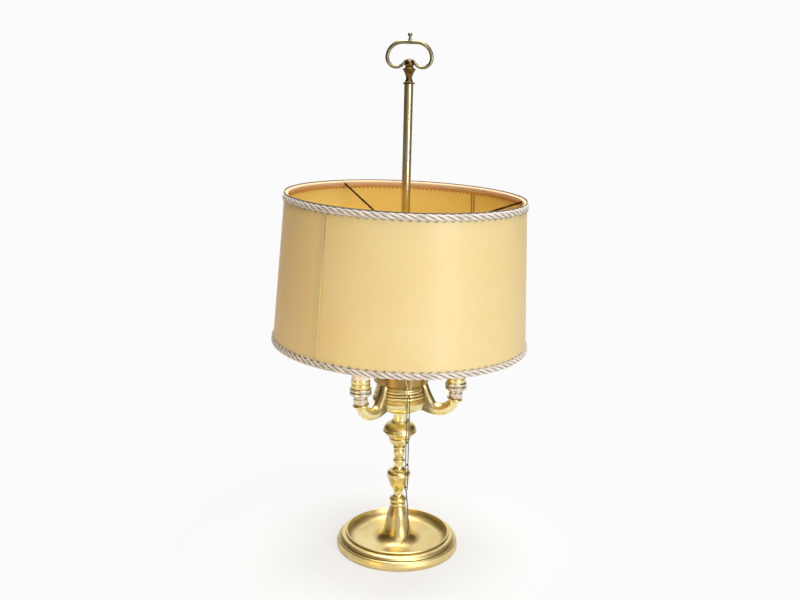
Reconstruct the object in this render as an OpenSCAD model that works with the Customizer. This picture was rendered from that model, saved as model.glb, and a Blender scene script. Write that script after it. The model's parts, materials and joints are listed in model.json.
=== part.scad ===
// Florentine lamp: a turned brass stand with a drip tray, an oil font with three
// electrified spouts, a tall rod with a ring handle, a drum shade that slides on the
// rod, and a wick pricker on a chain. Millimetres, +Z up, origin under the foot's centre.

/* [Base] */
// Diameter of the foot
foot_d = 175; // [165:1:190]
// Height of the foot's lower step
foot_h = 13; // [11:0.5:14.5]
// Diameter of the upper step where it meets the foot
tier_d = 167; // [156:1:170]
// Diameter of the tray's rim
tray_d = 147; // [136:1:150]
// Height of the tray's rim above the table
tray_rim_z = 22.5; // [20.5:0.5:26]
// Depth of the tray below its rim
tray_depth = 13.5; // [10:0.5:15]
// Diameter of the bell near its foot
bell_d = 41; // [38:1:50]
// Diameter of the bell at its top
bell_top_d = 21.6; // [21:0.2:24]
// Height of the base casting
base_h = 61; // [54:1:75]
// Wall of the base casting
base_wall = 3; // [2.4:0.1:3.6]
// Outer diameter of the cord bushing's sleeve
bushing_d = 8; // [6:0.5:9]

/* [Stem] */
// Diameter of the threaded tie tube that holds the stand together
tie_d = 10; // [8:0.2:10.4]
// Height of the collar above the base
collar_h = 14; // [12:0.5:18]
// Diameter of the collar's big bead
collar_d = 25.4; // [23:0.2:30]
// Height of the urn
urn_h = 53; // [46:1:62]
// Diameter of the urn at its rim
urn_d = 34; // [29:0.2:38]
// Diameter of the urn's necks
neck_d = 13; // [12.8:0.2:15]
// Height of the knop
knop_h = 24; // [21:0.5:28]
// Diameter of the knop's rings
knop_d = 17.4; // [16.4:0.2:21]
// Height of the capital
capital_h = 54; // [48:1:62]
// Diameter of the capital's sharp edge
capital_d = 48; // [44:0.5:56]

/* [Font] */
// Height of the font's bowl
bowl_h = 38; // [35:0.5:42]
// Diameter of the font's bowl under its rings
bowl_d = 73; // [69:0.5:78]
// Height of the font's cup
cup_h = 28; // [25:0.5:34]
// Diameter of the font's cup
cup_d = 78; // [76:0.5:84]
// Height of the font's domed lid
lid_h = 20; // [17:0.5:26]
// Wall of the font
font_wall = 2.4; // [2:0.1:3]

/* [Arms] */
// Distance from the lamp's axis to each lampholder's axis
arm_reach = 78.6; // [75:0.2:86]
// Diameter of the arm's tube
arm_d = 17.5; // [16.6:0.1:19]
// Bore of the arm's tube
arm_bore = 11; // [9:0.2:11.4]
// Bend radius of the arm's tube
bend_r = 23; // [21.5:0.5:25]
// Height of the bend's centre above the font's foot
bend_up = 30; // [29:0.2:32]
// Outward lean of the arm's open end
lip_lean = 10; // [6:1:16]
// Diameter of the arm's lip
lip_d = 22.6; // [21.6:0.2:25]
// Direction of the rear arm
arm_turn = 106; // [96:1:116]

/* [Lampholders] */
// Diameter of the cap's round seat
seat_ball_d = 19.2; // [18.4:0.2:20.4]
// Diameter of the shade rings
ring_d = 29.8; // [28:0.2:33]
// Diameter of the brass body
holder_d = 25.5; // [24.6:0.1:27.5]
// Height of the brass body
holder_h = 23; // [20:0.5:27]
// Height of the white collar above the brass body
white_h = 13; // [9:0.5:18]
// Diameter of the bulb
bulb_d = 35; // [30:0.5:38]
// Length of the bulb's glass
bulb_h = 78; // [66:1:86]

/* [Rod] */
// Diameter of the rod
rod_d = 12; // [11.6:0.1:14]
// Length of the rod
rod_l = 430; // [380:1:470]
// Height of the finial
finial_h = 33; // [30:0.5:40]
// Diameter of the finial's collar
finial_d = 17; // [15.4:0.2:20]
// Overall width of the ring handle
handle_w = 63.6; // [60:0.2:70]
// Diameter of the handle's bar
handle_bar = 5.2; // [4.4:0.1:6]
// Radius of the handle's shoulders
shoulder_r = 20.2; // [18:0.2:22]
// Radius of the handle's lower lobes
lobe_r = 12; // [11.6:0.1:13]
// Diameter of the knob on the handle
knob_d = 6; // [5:0.1:8]

/* [Chain] */
// Direction of the chain from the lamp's axis
chain_turn = 283.5; // [274:0.5:296]
// Distance of the chain from the lamp's axis
chain_r = 46; // [45:0.2:50]
// Thickness of the chain's wire
wire_d = 1.4; // [1:0.1:1.6]
// Width of a link
link_w = 6.4; // [6:0.1:7.6]
// Step from one link to the next
link_pitch = 33.2; // [30:0.2:34]
// Height of the pricker's tip above the tray
tip_gap = 10; // [6:0.5:20]

/* [Shade] */
// Height of the clamp collar's flange above the lid
clamp_lift = 161; // [135:1:190]
// Diameter of the shade at the bottom
shade_bottom_d = 350; // [320:1:380]
// Diameter of the shade at the top
shade_top_d = 326; // [300:1:350]
// Height of the shade
shade_h = 203; // [170:1:220]
// Rise of the spokes from the hub to the top ring
spoke_rise = 52; // [45:1:70]
// Thickness of the parchment
parchment = 0.8; // [0.5:0.1:1.2]
// Thickness of the frame's wire
frame_wire = 2.8; // [2.2:0.1:3.4]
// Height of the braided trim
trim_h = 11.5; // [9:0.5:15]
// Lean of the shade on its bent old frame
shade_lean = 1.1; // [0:0.1:2]
// Direction of the first spoke
spoke_turn = 4.5; // [0:0.5:119]
// Direction of the rear seam of the parchment
seam_turn = 52.5; // [0:0.5:179]

/* [Hidden] */
$fn = 96;

// Turning angle of one step along a turned arc
arc_step = 12;
// Radial clearance of a bore on the part that fills it
fit = 0.05;
// Clearance between a hanging piece and what it hangs on
hang_gap = 0.3;
// Overshoot of a cutting solid
over = 1;

// Radii of the driving diameters
foot_r = foot_d / 2;
tier_r = tier_d / 2;
tray_r = tray_d / 2;
bell_r = bell_d / 2;
bell_top_r = bell_top_d / 2;
tie_r = tie_d / 2;
bore_r = tie_r + fit;
neck_r = neck_d / 2;
bowl_r = bowl_d / 2;
cup_r = cup_d / 2;
rod_r = rod_d / 2;

// Heights of the stacked pieces
tray_floor_z = tray_rim_z - tray_depth;
collar_z = base_h;
urn_z = collar_z + collar_h;
knop_z = urn_z + urn_h;
capital_z = knop_z + knop_h;
font_z = capital_z + capital_h;
cup_z = font_z + bowl_h;
lid_z = cup_z + cup_h;
lid_top_z = lid_z + lid_h;

// Nuts, washer and the web of the base that they clamp
web_h = 8;
nut_h = 5;
nut_flats = 15;
washer_h = 1.5;
washer_r = 9.4;
web_z = base_h - web_h;
tie_tail = 4;
tie_z = web_z - washer_h - nut_h - tie_tail;

// Font's floor, terminal block and the rod's foot above them
font_floor = 3.5;
block_h = 9;
block_r = 16;
block_z = font_z + font_floor + nut_h;
rod_lift = 4;
rod_z = block_z + block_h + rod_lift;
rod_top_z = rod_z + rod_l;
rod_engage = 24;
tie_top_z = rod_z + rod_engage;

// Arm: its tube's bend, lip and root
arm_r = arm_d / 2;
arm_sides = 24;
arm_steps = 12;
root_angle = -128;
root_steps = 4;
root_in_r = 22;
flare_angle = -95;
flare_rise = 16.2;
flare_power = 1.6;
lip_neck_r = 7.2;
lip_r = lip_d / 2;
lip_bore_r = 8.2;
lip_wall_r = lip_bore_r * cos(180 / arm_sides) - fit;
lip_angle = -lip_lean;
seat_ball_r = seat_ball_d / 2;
seat_lift = sqrt(seat_ball_r * seat_ball_r - lip_wall_r * lip_wall_r);
bend_x = arm_reach - bend_r * cos(lip_lean) - seat_lift * sin(lip_lean);
bend_z = font_z + bend_up;
root_l = (bend_x + bend_r * cos(root_angle) - root_in_r) / -sin(root_angle);
root_bend_l = bend_r * (flare_angle - root_angle) * PI / 180;
flare_l = root_l + root_bend_l;
seat_z = bend_z - bend_r * sin(lip_lean) + seat_lift * cos(lip_lean);
arm_turns = [arm_turn + 120, arm_turn + 240, arm_turn];

// Lampholder: heights above the centre of the cap's round seat
cap_bore_r = 4.6;
cap_top = 8.5;
cap_flange_r = 11.2;
cap_flange_h = 2;
thread_r = holder_d / 2 - 0.75;
thread_h = 10.5;
ring_h = 4.4;
ring_pitch = 5;
ring_start = 0.5;
holder_wall = 1.4;
body_top = cap_top + holder_h;
core_r = holder_d / 2 - 0.75 - holder_wall - fit;
core_floor_z = cap_top + holder_wall;
core_floor = 7;
core_bore_r = 8.2;
white_top = body_top + white_h;
contact_z = core_floor_z + core_floor;
contact_h = 2.5;
bulb_z = contact_z + contact_h + hang_gap;
bulb_cap_r = 7.1;
glass_lift = 1.5;
glass_z = white_top + glass_lift;
glass_wall = 1;

// Handle and finial
finial_ball_r = 6.5;
finial_z = rod_top_z;
ball_z = finial_z + finial_h - finial_ball_r;
handle_half = (handle_w - handle_bar) / 2;
handle_drop = 7.3;
handle_z = ball_z + handle_drop;
handle_tip_angle = 350;
handle_sides = 12;

// Chain: the eye on the cup, the bail, the links and the pricker
wire_r = wire_d / 2;
eye_z = cup_z + 22;
eye_ring_r = 2.6;
eye_wire_r = 0.9;
bar_z = eye_z - eye_ring_r + eye_wire_r + wire_r + hang_gap;
bail_half = 4.4;
bail_drop = 25.5;
bail_ring_r = 2.3;
bail_z = bar_z - bail_drop;
link_count = 4;
link_turn = 40;
link_bend_r = (link_w - wire_d) / 2;
link_l = link_pitch + wire_d + hang_gap;
pricker_ring_r = 2.6;
pricker_r = 0.8;
pricker_tip_r = 0.5;
pricker_bow = 4.5;
pricker_hook = 6.5;
chain_end_z = bail_z - link_count * link_pitch;
pricker_top_z = chain_end_z + wire_d + hang_gap - 2 * pricker_ring_r;
tip_z = tray_floor_z + tip_gap;

// Clamp collar and its thumbscrew
collar_r = 9;
collar_bore_r = rod_r + fit;
flange_r = 13;
flange_h = 3;
clamp_h = 16;
spigot_h = 12;
clamp_z = lid_top_z + clamp_lift;
screw_r = 2.5;
screw_l = 14;
screw_turn = 300;
screw_z = clamp_z - flange_h - clamp_h / 2;
wing_r = 4.5;
wing_h = 3;

// Shade: hub, spokes, rings and the sloping parchment
hub_r = 16;
hub_h = 5;
hub_z = clamp_z + hang_gap;
spoke_z = hub_z + hub_h / 2;
frame_r = frame_wire / 2;
ring_inset = 0.8;
top_ring_z = spoke_z + spoke_rise;
shade_top_z = top_ring_z + frame_r + ring_inset;
shade_bottom_z = shade_top_z - shade_h;
bottom_ring_z = shade_bottom_z + frame_r + ring_inset;
shade_slope = (shade_bottom_d - shade_top_d) / 2 / shade_h;
top_ring_r = parchment_r(top_ring_z) - parchment - frame_r - fit;
bottom_ring_r = parchment_r(bottom_ring_z) - parchment - frame_r - fit;
rope_h = 8;
rope_swell = 1.5;
braid_t = 1.1;
trim_over = 0.6;
lap_w = 7;
lap_gap = 1;
binding_t = 0.5;
binding_h = 9;

// Colours
brass = "darkgoldenrod";
steel = "silver";
iron = "dimgray";
wire_brown = "saddlebrown";
parchment_tan = "wheat";
porcelain = "ivory";
clear_glass = "lightcyan";
braid_grey = "lightgray";

// Outer radius of the parchment at a height
function parchment_r(z) = shade_top_d / 2 + (shade_top_z - z) * shade_slope;

// A plane vector turned by an angle
function turn_by(v, angle) = [v[0] * cos(angle) - v[1] * sin(angle), v[0] * sin(angle) + v[1] * cos(angle)];

// Points from a up to, not including, b along an arc that swells to the right of the way
function arc(a, b, swell) =
    swell == 0
    ? [a]
    : let (turn = 4 * atan(2 * swell / norm(b - a)), steps = max(2, ceil(abs(turn) / arc_step)))
      [for (i = [0 : steps - 1])
          let (t = i / steps)
          a + turn_by(b - a, -(1 - t) * turn / 2) * sin(t * turn / 2) / sin(turn / 2)];

// Outline through rows of [radius, height, swell of the arc to the next row]
function outline(rows) =
    [for (i = [0 : len(rows) - 1])
        let (p = rows[i], q = rows[(i + 1) % len(rows)])
        each arc([p[0], p[1]], [q[0], q[1]], is_undef(p[2]) ? 0 : p[2])];

// Swell of a round arc of radius r over a chord from a to b
function swell_of(a, b, r) = r - sqrt(r * r - norm(b - a) * norm(b - a) / 4);

// Points of a circle's arc in the plane
function ring_arc(centre, r, from, to, steps) =
    [for (i = [0 : steps])
        let (angle = from + (to - from) * i / steps)
        centre + r * [cos(angle), sin(angle)]];

// Unit direction of a path at its point i
function heading(path, i) =
    let (d = path[min(i + 1, len(path) - 1)] - path[max(i - 1, 0)])
    d / norm(d);

// Rings of points round a path that lies in the XZ plane, with radii in that plane and across it
function path_rings(path, radii, across, sides) =
    [for (i = [0 : len(path) - 1])
        let (t = heading(path, i))
        for (k = [0 : sides - 1])
            let (c = radii[i] * cos(360 * k / sides), s = across[i] * sin(360 * k / sides))
            [path[i][0] - t[1] * c, s, path[i][1] + t[0] * c]];

// Triangles between neighbouring rings, with the first ring's points starting at first
function ring_faces(rings, sides, first = 0, inward = false) =
    [for (i = [0 : rings - 2])
        for (k = [0 : sides - 1])
            let (a = first + i * sides + k, b = first + i * sides + (k + 1) % sides, c = b + sides, d = a + sides)
            each inward ? [[c, b, a], [d, c, a]] : [[a, b, c], [a, c, d]]];

// Triangles across the gap between two rings in one end plane
function rim_faces(outer, inner, sides) =
    [for (k = [0 : sides - 1])
        let (n = (k + 1) % sides)
        each [[outer + n, outer + k, inner + k], [outer + n, inner + k, inner + n]]];

// Solid turned about the Z axis
module turned(rows, z = 0) {
    translate([0, 0, z])
        rotate_extrude()
            polygon(outline(rows));
}

// Round bar along a path in the XZ plane
module bar(path, radii, sides) {
    count = len(path);
    last = (count - 1) * sides;
    polyhedron(
        points = path_rings(path, radii, radii, sides),
        faces = concat(
            [[for (k = [sides - 1 : -1 : 0]) k]],
            ring_faces(count, sides),
            [[for (k = [0 : sides - 1]) last + k]]
        )
    );
}

// Tube along a path in the XZ plane, its outside with other radii across that plane
module pipe(path, outer, across, inner, sides) {
    count = len(path);
    last = (count - 1) * sides;
    bore = count * sides;
    polyhedron(
        points = concat(path_rings(path, outer, across, sides), path_rings(path, inner, inner, sides)),
        faces = concat(
            ring_faces(count, sides),
            ring_faces(count, sides, bore, true),
            rim_faces(0, bore, sides),
            rim_faces(bore + last, last, sides)
        )
    );
}

// Straight wire between two points
module wire(from, to, r) {
    d = to - from;
    translate(from)
        rotate([0, acos(d[2] / norm(d)), atan2(d[1], d[0])])
            cylinder(h = norm(d), r = r);
}

// Wire ring round the Z axis
module torus(ring_r, tube_r) {
    rotate_extrude()
        translate([ring_r, 0])
            circle(r = tube_r);
}

// Hexagon nut on the tie tube
module tie_nut(z) {
    translate([0, 0, z])
        difference() {
            cylinder(h = nut_h, d = nut_flats / cos(30), $fn = 6);
            translate([0, 0, -over])
                cylinder(h = nut_h + 2 * over, r = bore_r);
        }
}

// Base: stepped foot, tray with a rounded rim, and the bell in one hollow casting
foot_edge = 1.2;
foot_swell = 1.2;
groove = 0.9;
rim_r = 1.5;
floor_r = tray_r - 12;
bell_mid_z = tray_floor_z + 24;
bell_mid_r = 17.8;
bell_cove = 18;
bell_cove_h = 15;

function base_outer() = [
    [0, 0],
    [foot_r - foot_edge, 0, foot_swell],
    [foot_r - foot_edge, foot_h - 3.5, 0.7],
    [tier_r + 0.6, foot_h],
    [tier_r - groove, foot_h],
    [tier_r - groove, foot_h + groove],
    [tier_r, foot_h + 1.5, 1.5],
    [tray_r + rim_r + 0.6, tray_rim_z - 2.2 * rim_r],
    [tray_r + rim_r - groove, tray_rim_z - 2.2 * rim_r],
    [tray_r + rim_r - groove, tray_rim_z - 1.6 * rim_r],
    [tray_r + rim_r, tray_rim_z - rim_r, rim_r],
    [tray_r - rim_r, tray_rim_z - rim_r, -2],
    [floor_r, tray_floor_z + 0.8, -0.3],
    [bell_r + bell_cove, tray_floor_z, -3.9],
    [bell_r, tray_floor_z + bell_cove_h, -0.2],
    [bell_mid_r, bell_mid_z, 1],
    [bell_top_r, base_h],
    [0, base_h]
];

function base_inner() = [
    [0, -over],
    [foot_r - 2 * base_wall, -over],
    [foot_r - 2 * base_wall, foot_h - base_wall],
    [tray_r - base_wall, tray_floor_z + base_wall],
    [floor_r, tray_floor_z - base_wall],
    [bell_r + bell_cove, tray_floor_z - base_wall, -4.8],
    [bell_r - 1.2 * base_wall, tray_floor_z + bell_cove_h - 1],
    [bell_mid_r - base_wall, bell_mid_z],
    [washer_r + fit, web_z],
    [0, web_z]
];

module base() {
    color(brass)
    difference() {
        rotate_extrude()
            difference() {
                polygon(outline(base_outer()));
                polygon(outline(base_inner()));
                square([bore_r, base_h + over]);
            }
        rear_hole(bushing_d / 2 + fit, 3 * base_wall);
    }
}

// Place on the rear of the foot where the cord comes in
bushing_z = foot_h / 2;

module rear_hole(r, l) {
    translate([0, foot_r + over, bushing_z])
        rotate([90, 0, 0])
            cylinder(h = l, r = r);
}

// Bushing in the rear of the foot, with a flange outside
bushing_wall = 1.2;
bushing_flange = 1.4;

module cord_bushing() {
    color(iron)
    translate([0, foot_r, bushing_z])
        rotate([90, 0, 0])
            difference() {
                union() {
                    cylinder(h = 2 * base_wall + over, d = bushing_d);
                    translate([0, 0, -bushing_flange])
                        cylinder(h = bushing_flange, r = bushing_d / 2 + bushing_flange);
                }
                translate([0, 0, -bushing_flange - over])
                    cylinder(h = 4 * base_wall + bushing_flange, r = bushing_d / 2 - bushing_wall);
            }
}

module base_washer() {
    color(steel)
    translate([0, 0, web_z - washer_h])
        difference() {
            cylinder(h = washer_h, r = washer_r);
            translate([0, 0, -over])
                cylinder(h = washer_h + 2 * over, r = bore_r);
        }
}

module base_nut() {
    color(steel)
    tie_nut(web_z - washer_h - nut_h);
}

module tie_tube() {
    color(steel)
    translate([0, 0, tie_z])
        difference() {
            cylinder(h = tie_top_z - tie_z, r = tie_r);
            translate([0, 0, -over])
                cylinder(h = tie_top_z - tie_z + 2 * over, r = tie_r - 1);
        }
}

// Collar: a thin ring under a big bead
module stem_collar() {
    ring_r = bell_top_r + 0.4;
    ring_top = 4.2;
    bead_r = collar_d / 2;
    color(brass)
    turned([
        [bore_r, 0],
        [ring_r - 0.6, 0, 0.6],
        [ring_r - 0.6, ring_top],
        [ring_r - 0.8, ring_top + 0.6],
        [bead_r - 2.5, ring_top + 0.8, 2.5],
        [bead_r - 3.2, collar_h - 0.6],
        [neck_r + 2, collar_h],
        [bore_r, collar_h]
    ], collar_z);
}

// Urn: a flared neck, a swelling belly, a rounded rim and a hollow shoulder
module stem_urn() {
    rim_r = urn_d / 2;
    belly_z = 9.3;
    rim_z = urn_h - 22;
    shoulder_z = urn_h - 12.8;
    color(brass)
    turned([
        [bore_r, 0],
        [neck_r + 1.8, 0, -0.7],
        [neck_r, 4.5],
        [neck_r, belly_z - 0.8],
        [neck_r + 0.5, belly_z, 1.2],
        [rim_r - 0.5, rim_z, 0.5],
        [rim_r - 0.3, rim_z + 5, 0.5],
        [rim_r - 3.4, shoulder_z, -2.6],
        [neck_r, urn_h - 3.5],
        [neck_r, urn_h],
        [bore_r, urn_h]
    ], urn_z);
}

// Knop: a bead between two rings
module stem_knop() {
    ring_r = knop_d / 2 - 1;
    ring_h = 4.3;
    color(brass)
    turned([
        [bore_r, 0],
        [ring_r, 0, 1],
        [ring_r, ring_h],
        [neck_r - 0.5, ring_h + 0.5],
        [neck_r - 0.7, ring_h + 2, 1.7],
        [ring_r - 0.2, knop_h - ring_h - 0.5],
        [ring_r, knop_h - ring_h, 1],
        [ring_r, knop_h],
        [bore_r, knop_h]
    ], knop_z);
}

// Capital: a cup, a spreading disc with a sharp edge, a dome and a long neck
module stem_capital() {
    edge_r = capital_d / 2;
    cup_top_r = 14.8;
    cup_top = 12.8;
    edge_z = 23.3;
    dome_z = 35.5;
    shaft_r = 10.2;
    color(brass)
    turned([
        [bore_r, 0],
        [neck_r + 0.6, 0],
        [neck_r + 1, 0.8, 2.2],
        [cup_top_r, cup_top - 1.6, 0.3],
        [cup_top_r, cup_top],
        [cup_top_r - 0.4, cup_top + 0.5, 0.7],
        [edge_r - 5, cup_top + 5],
        [edge_r, edge_z - 0.6],
        [edge_r, edge_z],
        [edge_r - 0.9, edge_z + 2.2, 1.9],
        [shaft_r + 4.6, dome_z, 0.3],
        [shaft_r + 2, dome_z + 0.8],
        [shaft_r + 1.4, dome_z + 2, 0.8],
        [shaft_r, dome_z + 3.2, -0.5],
        [shaft_r - 0.3, capital_h],
        [bore_r, capital_h]
    ], capital_z);
}

// Outside of the font's bowl: a round bottom, a sloping shoulder and three beads
bowl_shoulder = 3.5;
bowl_shoulder_z = 18.4;

function bowl_rows() = [
    [0, 0],
    [10.4, 0],
    [11, 0.8, -0.5],
    [bowl_r - 13.5, 2.4, 4.2],
    [bowl_r + bowl_shoulder, bowl_shoulder_z, 0.4],
    [bowl_r, 23.4],
    [bowl_r - 0.3, 24, 1.5],
    [bowl_r - 0.3, 27.8],
    [bowl_r - 1.7, 28.2, 1.4],
    [bowl_r - 1.7, 32],
    [bowl_r - 2.6, 32.6, 1.4],
    [bowl_r - 2.6, bowl_h - 1.2],
    [bowl_r - 2.9, bowl_h],
    [0, bowl_h]
];

// Cover over the bowl's beads, which keeps an arm out of the grooves between them
function bead_cover_rows() = [
    [0, 23.4],
    [bowl_r, 23.4],
    [bowl_r + 1.2, 25.9],
    [bowl_r - 0.3, 30.1],
    [bowl_r - 1.2, 34.7],
    [bowl_r - 1.2, bowl_h],
    [0, bowl_h]
];

module font_bowl() {
    inner_r = bowl_r - 3 - font_wall;
    color(brass)
    difference() {
        turned(bowl_rows(), font_z);
        turned([
            [0, font_floor],
            [block_r + 2, font_floor],
            [inner_r, 22],
            [inner_r, bowl_h + over],
            [0, bowl_h + over]
        ], font_z);
        translate([0, 0, font_z - over])
            cylinder(h = font_floor + 2 * over, r = bore_r);
        for (turn = arm_turns)
            rotate([0, 0, turn])
                root_hole();
    }
}

// Hole in the bowl's wall behind an arm's root
hole_r = 4;

module root_hole() {
    root = arm_root();
    wire([root[0][0], 0, root[0][1]], [root[1][0], 0, root[1][1]], hole_r);
}

module font_nut() {
    color(steel)
    tie_nut(font_z + font_floor);
}

// Outside of the font's cup
function cup_rows() = [
    [0, 0],
    [bowl_r - 2.7, 0],
    [bowl_r - 2.7, 1.2, -1.4],
    [cup_r - 0.4, 6.2, 0.4],
    [cup_r, cup_h - 4],
    [cup_r, cup_h - 3.6, 1.6],
    [cup_r, cup_h],
    [0, cup_h]
];

module font_cup() {
    foot_bore = bowl_r - 3 - font_wall;
    color(brass)
    difference() {
        turned(cup_rows(), cup_z);
        turned([
            [0, -over],
            [foot_bore, -over],
            [foot_bore, 4],
            [cup_r - font_wall, 8.5],
            [cup_r - font_wall, cup_h + over],
            [0, cup_h + over]
        ], cup_z);
    }
}

// Lid: a shallow dome with a collar for the rod and a skirt inside the cup
module font_lid() {
    skirt = 2.5;
    skirt_r = cup_r - font_wall - 2 * fit;
    crown_z = lid_h - 4;
    collar_r = rod_r + 3.2;
    color(brass)
    turned([
        [skirt_r - font_wall, -skirt],
        [skirt_r, -skirt],
        [skirt_r, 0],
        [cup_r, 0, 0.6],
        [cup_r, 2],
        [cup_r - 2.5, 2.8, 3.4],
        [collar_r + 1.6, crown_z, -0.4],
        [collar_r, crown_z + 1.2],
        [collar_r, lid_h - 0.8],
        [collar_r - 0.8, lid_h],
        [rod_r + fit, lid_h],
        [rod_r + fit, crown_z - font_wall, -3.4],
        [skirt_r - font_wall, 0.6]
    ], lid_z);
}

// Round terminal block on the font's floor nut
module terminal_block() {
    color(porcelain)
    translate([0, 0, block_z])
        difference() {
            cylinder(h = block_h, r = block_r);
            translate([0, 0, -over])
                cylinder(h = block_h + 2 * over, r = bore_r);
        }
}

// Straight root of an arm in its own plane: from inside the font to the start of the bend
function arm_root() =
    let (start = [bend_x, bend_z] + bend_r * [cos(root_angle), sin(root_angle)],
         back = root_l * [sin(root_angle), -cos(root_angle)])
    [start + back, start];

// Rows of an arm's lip: depth below the lip's plane, outer radius, bore radius
function lip_rows() = [
    [5.5, lip_neck_r, arm_bore / 2],
    [3.4, lip_neck_r + 0.5, arm_bore / 2 + 0.2],
    [2.2, lip_neck_r + 1.7, lip_bore_r - 1.2],
    [1.3, lip_r, lip_bore_r - 0.5],
    [0.4, lip_r, lip_bore_r],
    [0, lip_r - 0.4, lip_bore_r]
];

// Height of the arm's tube at a run before its flare starts, which grows towards the root
function flare_at(run) = arm_r + flare_rise * pow(run / flare_l, flare_power);

// Radius of the arm's tube at an angle of its bend: flared before, drawn in towards the lip
function tube_at(angle, neck_angle) =
    angle < flare_angle
    ? flare_at(bend_r * (flare_angle - angle) * PI / 180)
    : arm_r - (arm_r - lip_neck_r) * pow((angle - flare_angle) / (neck_angle - flare_angle), 3);

// Arm: a tall flared root, a bend and a thin lip, cut to sit on the font
module arm(index) {
    root = arm_root();
    lip_angles = [for (row = lip_rows()) lip_angle - row[0] / bend_r * 180 / PI];
    bend_angles = [for (i = [0 : arm_steps - 1]) root_angle + (lip_angles[0] - root_angle) * i / arm_steps];
    root_shares = [for (i = [0 : root_steps - 1]) i / root_steps];
    path = concat(
        [for (t = root_shares) root[0] + (root[1] - root[0]) * t],
        [for (a = concat(bend_angles, lip_angles)) [bend_x, bend_z] + bend_r * [cos(a), sin(a)]]
    );
    tube = concat(
        [for (t = root_shares) flare_at(root_bend_l + root_l * (1 - t))],
        [for (a = bend_angles) tube_at(a, lip_angles[0])]
    );
    outer = concat(tube, [for (row = lip_rows()) row[1]]);
    across = concat([for (r = tube) min(r, arm_r)], [for (row = lip_rows()) row[1]]);
    inner = concat([for (r = tube) arm_bore / 2], [for (row = lip_rows()) row[2]]);
    color(brass)
    difference() {
        rotate([0, 0, arm_turns[index]])
            pipe(path, outer, across, inner, arm_sides);
        turned(bowl_rows(), font_z);
        turned(bead_cover_rows(), font_z);
        turned(cup_rows(), cup_z);
    }
}

// Two-core leads from the terminal block through the arms to the lampholders
lead_r = 1.6;
lead_run = 4;
lead_sides = 8;

module leads() {
    root = arm_root();
    bend = ring_arc([bend_x, bend_z], bend_r, root_angle, lip_angle, arm_steps);
    path = concat(
        [[block_r + fit, block_z + block_h / 2], [block_r + lead_run, block_z + block_h / 2]],
        [root[0] + (root[1] - root[0]) / 3],
        bend,
        [[arm_reach, seat_z + 1], [arm_reach, seat_z + core_floor_z]]
    );
    color(iron)
    for (turn = arm_turns)
        rotate([0, 0, turn])
            bar(path, [for (p = path) lead_r], lead_sides);
}

// Place of a lampholder: its children stand on the seat of arm index
module at_holder(index) {
    rotate([0, 0, arm_turns[index]])
        translate([arm_reach, 0, seat_z])
            children();
}

// Lampholder cap: a round seat in the arm's lip, a waist and a flange
module holder_cap(index) {
    seat_low = [cap_bore_r, -sqrt(seat_ball_r * seat_ball_r - cap_bore_r * cap_bore_r)];
    seat_side = [seat_ball_r, 0];
    color(steel)
    at_holder(index)
        turned([
            [seat_low[0], seat_low[1], swell_of(seat_low, seat_side, seat_ball_r)],
            seat_side,
            [seat_ball_r, 3],
            [seat_ball_r - 0.8, 4],
            [seat_ball_r - 0.8, 5.4],
            [cap_flange_r, cap_top - cap_flange_h, 0.5],
            [cap_flange_r, cap_top],
            [cap_bore_r, cap_top]
        ]);
}

// Pair of shade rings screwed on the lampholder's thread
module holder_rings(index) {
    r = ring_d / 2;
    color(steel)
    at_holder(index)
        for (i = [0, 1])
            turned([
                [thread_r + fit, 0],
                [r - 1.2, 0, 0.4],
                [r, 1.2],
                [r, ring_h - 1.2, 0.4],
                [r - 1.2, ring_h],
                [thread_r + fit, ring_h]
            ], cap_top + ring_start + i * ring_pitch);
}

// Brass body of a lampholder: a thread below and two bands above
module holder_body(index) {
    r = holder_d / 2;
    inner_r = core_r + fit;
    band = 0.5;
    band_z = cap_top + thread_h + (holder_h - thread_h) / 2;
    color(brass)
    at_holder(index)
        turned([
            [cap_bore_r, cap_top],
            [thread_r, cap_top],
            [thread_r, cap_top + thread_h],
            [r, cap_top + thread_h, 0.3],
            [r, band_z - band],
            [r - band, band_z - band],
            [r - band, band_z + band],
            [r, band_z + band, 0.3],
            [r, body_top],
            [inner_r, body_top],
            [inner_r, core_floor_z],
            [cap_bore_r, core_floor_z]
        ]);
}

// White insulator: a core inside the brass body with a collar above it
module holder_insulator(index) {
    r = holder_d / 2 - 0.3;
    wire_hole = 2.4;
    color(porcelain)
    at_holder(index)
        turned([
            [wire_hole, core_floor_z],
            [core_r, core_floor_z],
            [core_r, body_top],
            [r, body_top],
            [r, white_top - 1, 0.3],
            [r - 1, white_top],
            [core_bore_r, white_top],
            [core_bore_r, contact_z],
            [wire_hole, contact_z]
        ]);
}

// Threaded contact shells inside the insulators
module screw_shells() {
    shell_h = white_top - contact_z - 2;
    color(brass)
    for (index = [0 : 2])
        at_holder(index)
            translate([0, 0, contact_z])
                difference() {
                    cylinder(h = shell_h, r = core_bore_r - fit);
                    translate([0, 0, -over])
                        cylinder(h = shell_h + 2 * over, r = bulb_cap_r + hang_gap);
                }
}

// Centre contacts on the insulators' floors
module centre_contacts() {
    foot_r = 4;
    tip_r = 2;
    color(brass)
    for (index = [0 : 2])
        at_holder(index)
            turned([
                [0, contact_z],
                [foot_r, contact_z],
                [foot_r, contact_z + 0.8],
                [tip_r, contact_z + 1.2],
                [tip_r, contact_z + contact_h],
                [0, contact_z + contact_h]
            ]);
}

// Screw cap of a bulb
module bulb_cap(index) {
    tip_r = 2.4;
    color(steel)
    at_holder(index)
        turned([
            [0, bulb_z],
            [tip_r, bulb_z],
            [tip_r + 0.8, bulb_z + 1.2],
            [bulb_cap_r, bulb_z + 3.4],
            [bulb_cap_r, glass_z - 2],
            [bulb_cap_r + 0.8, glass_z],
            [0, glass_z]
        ]);
}

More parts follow.
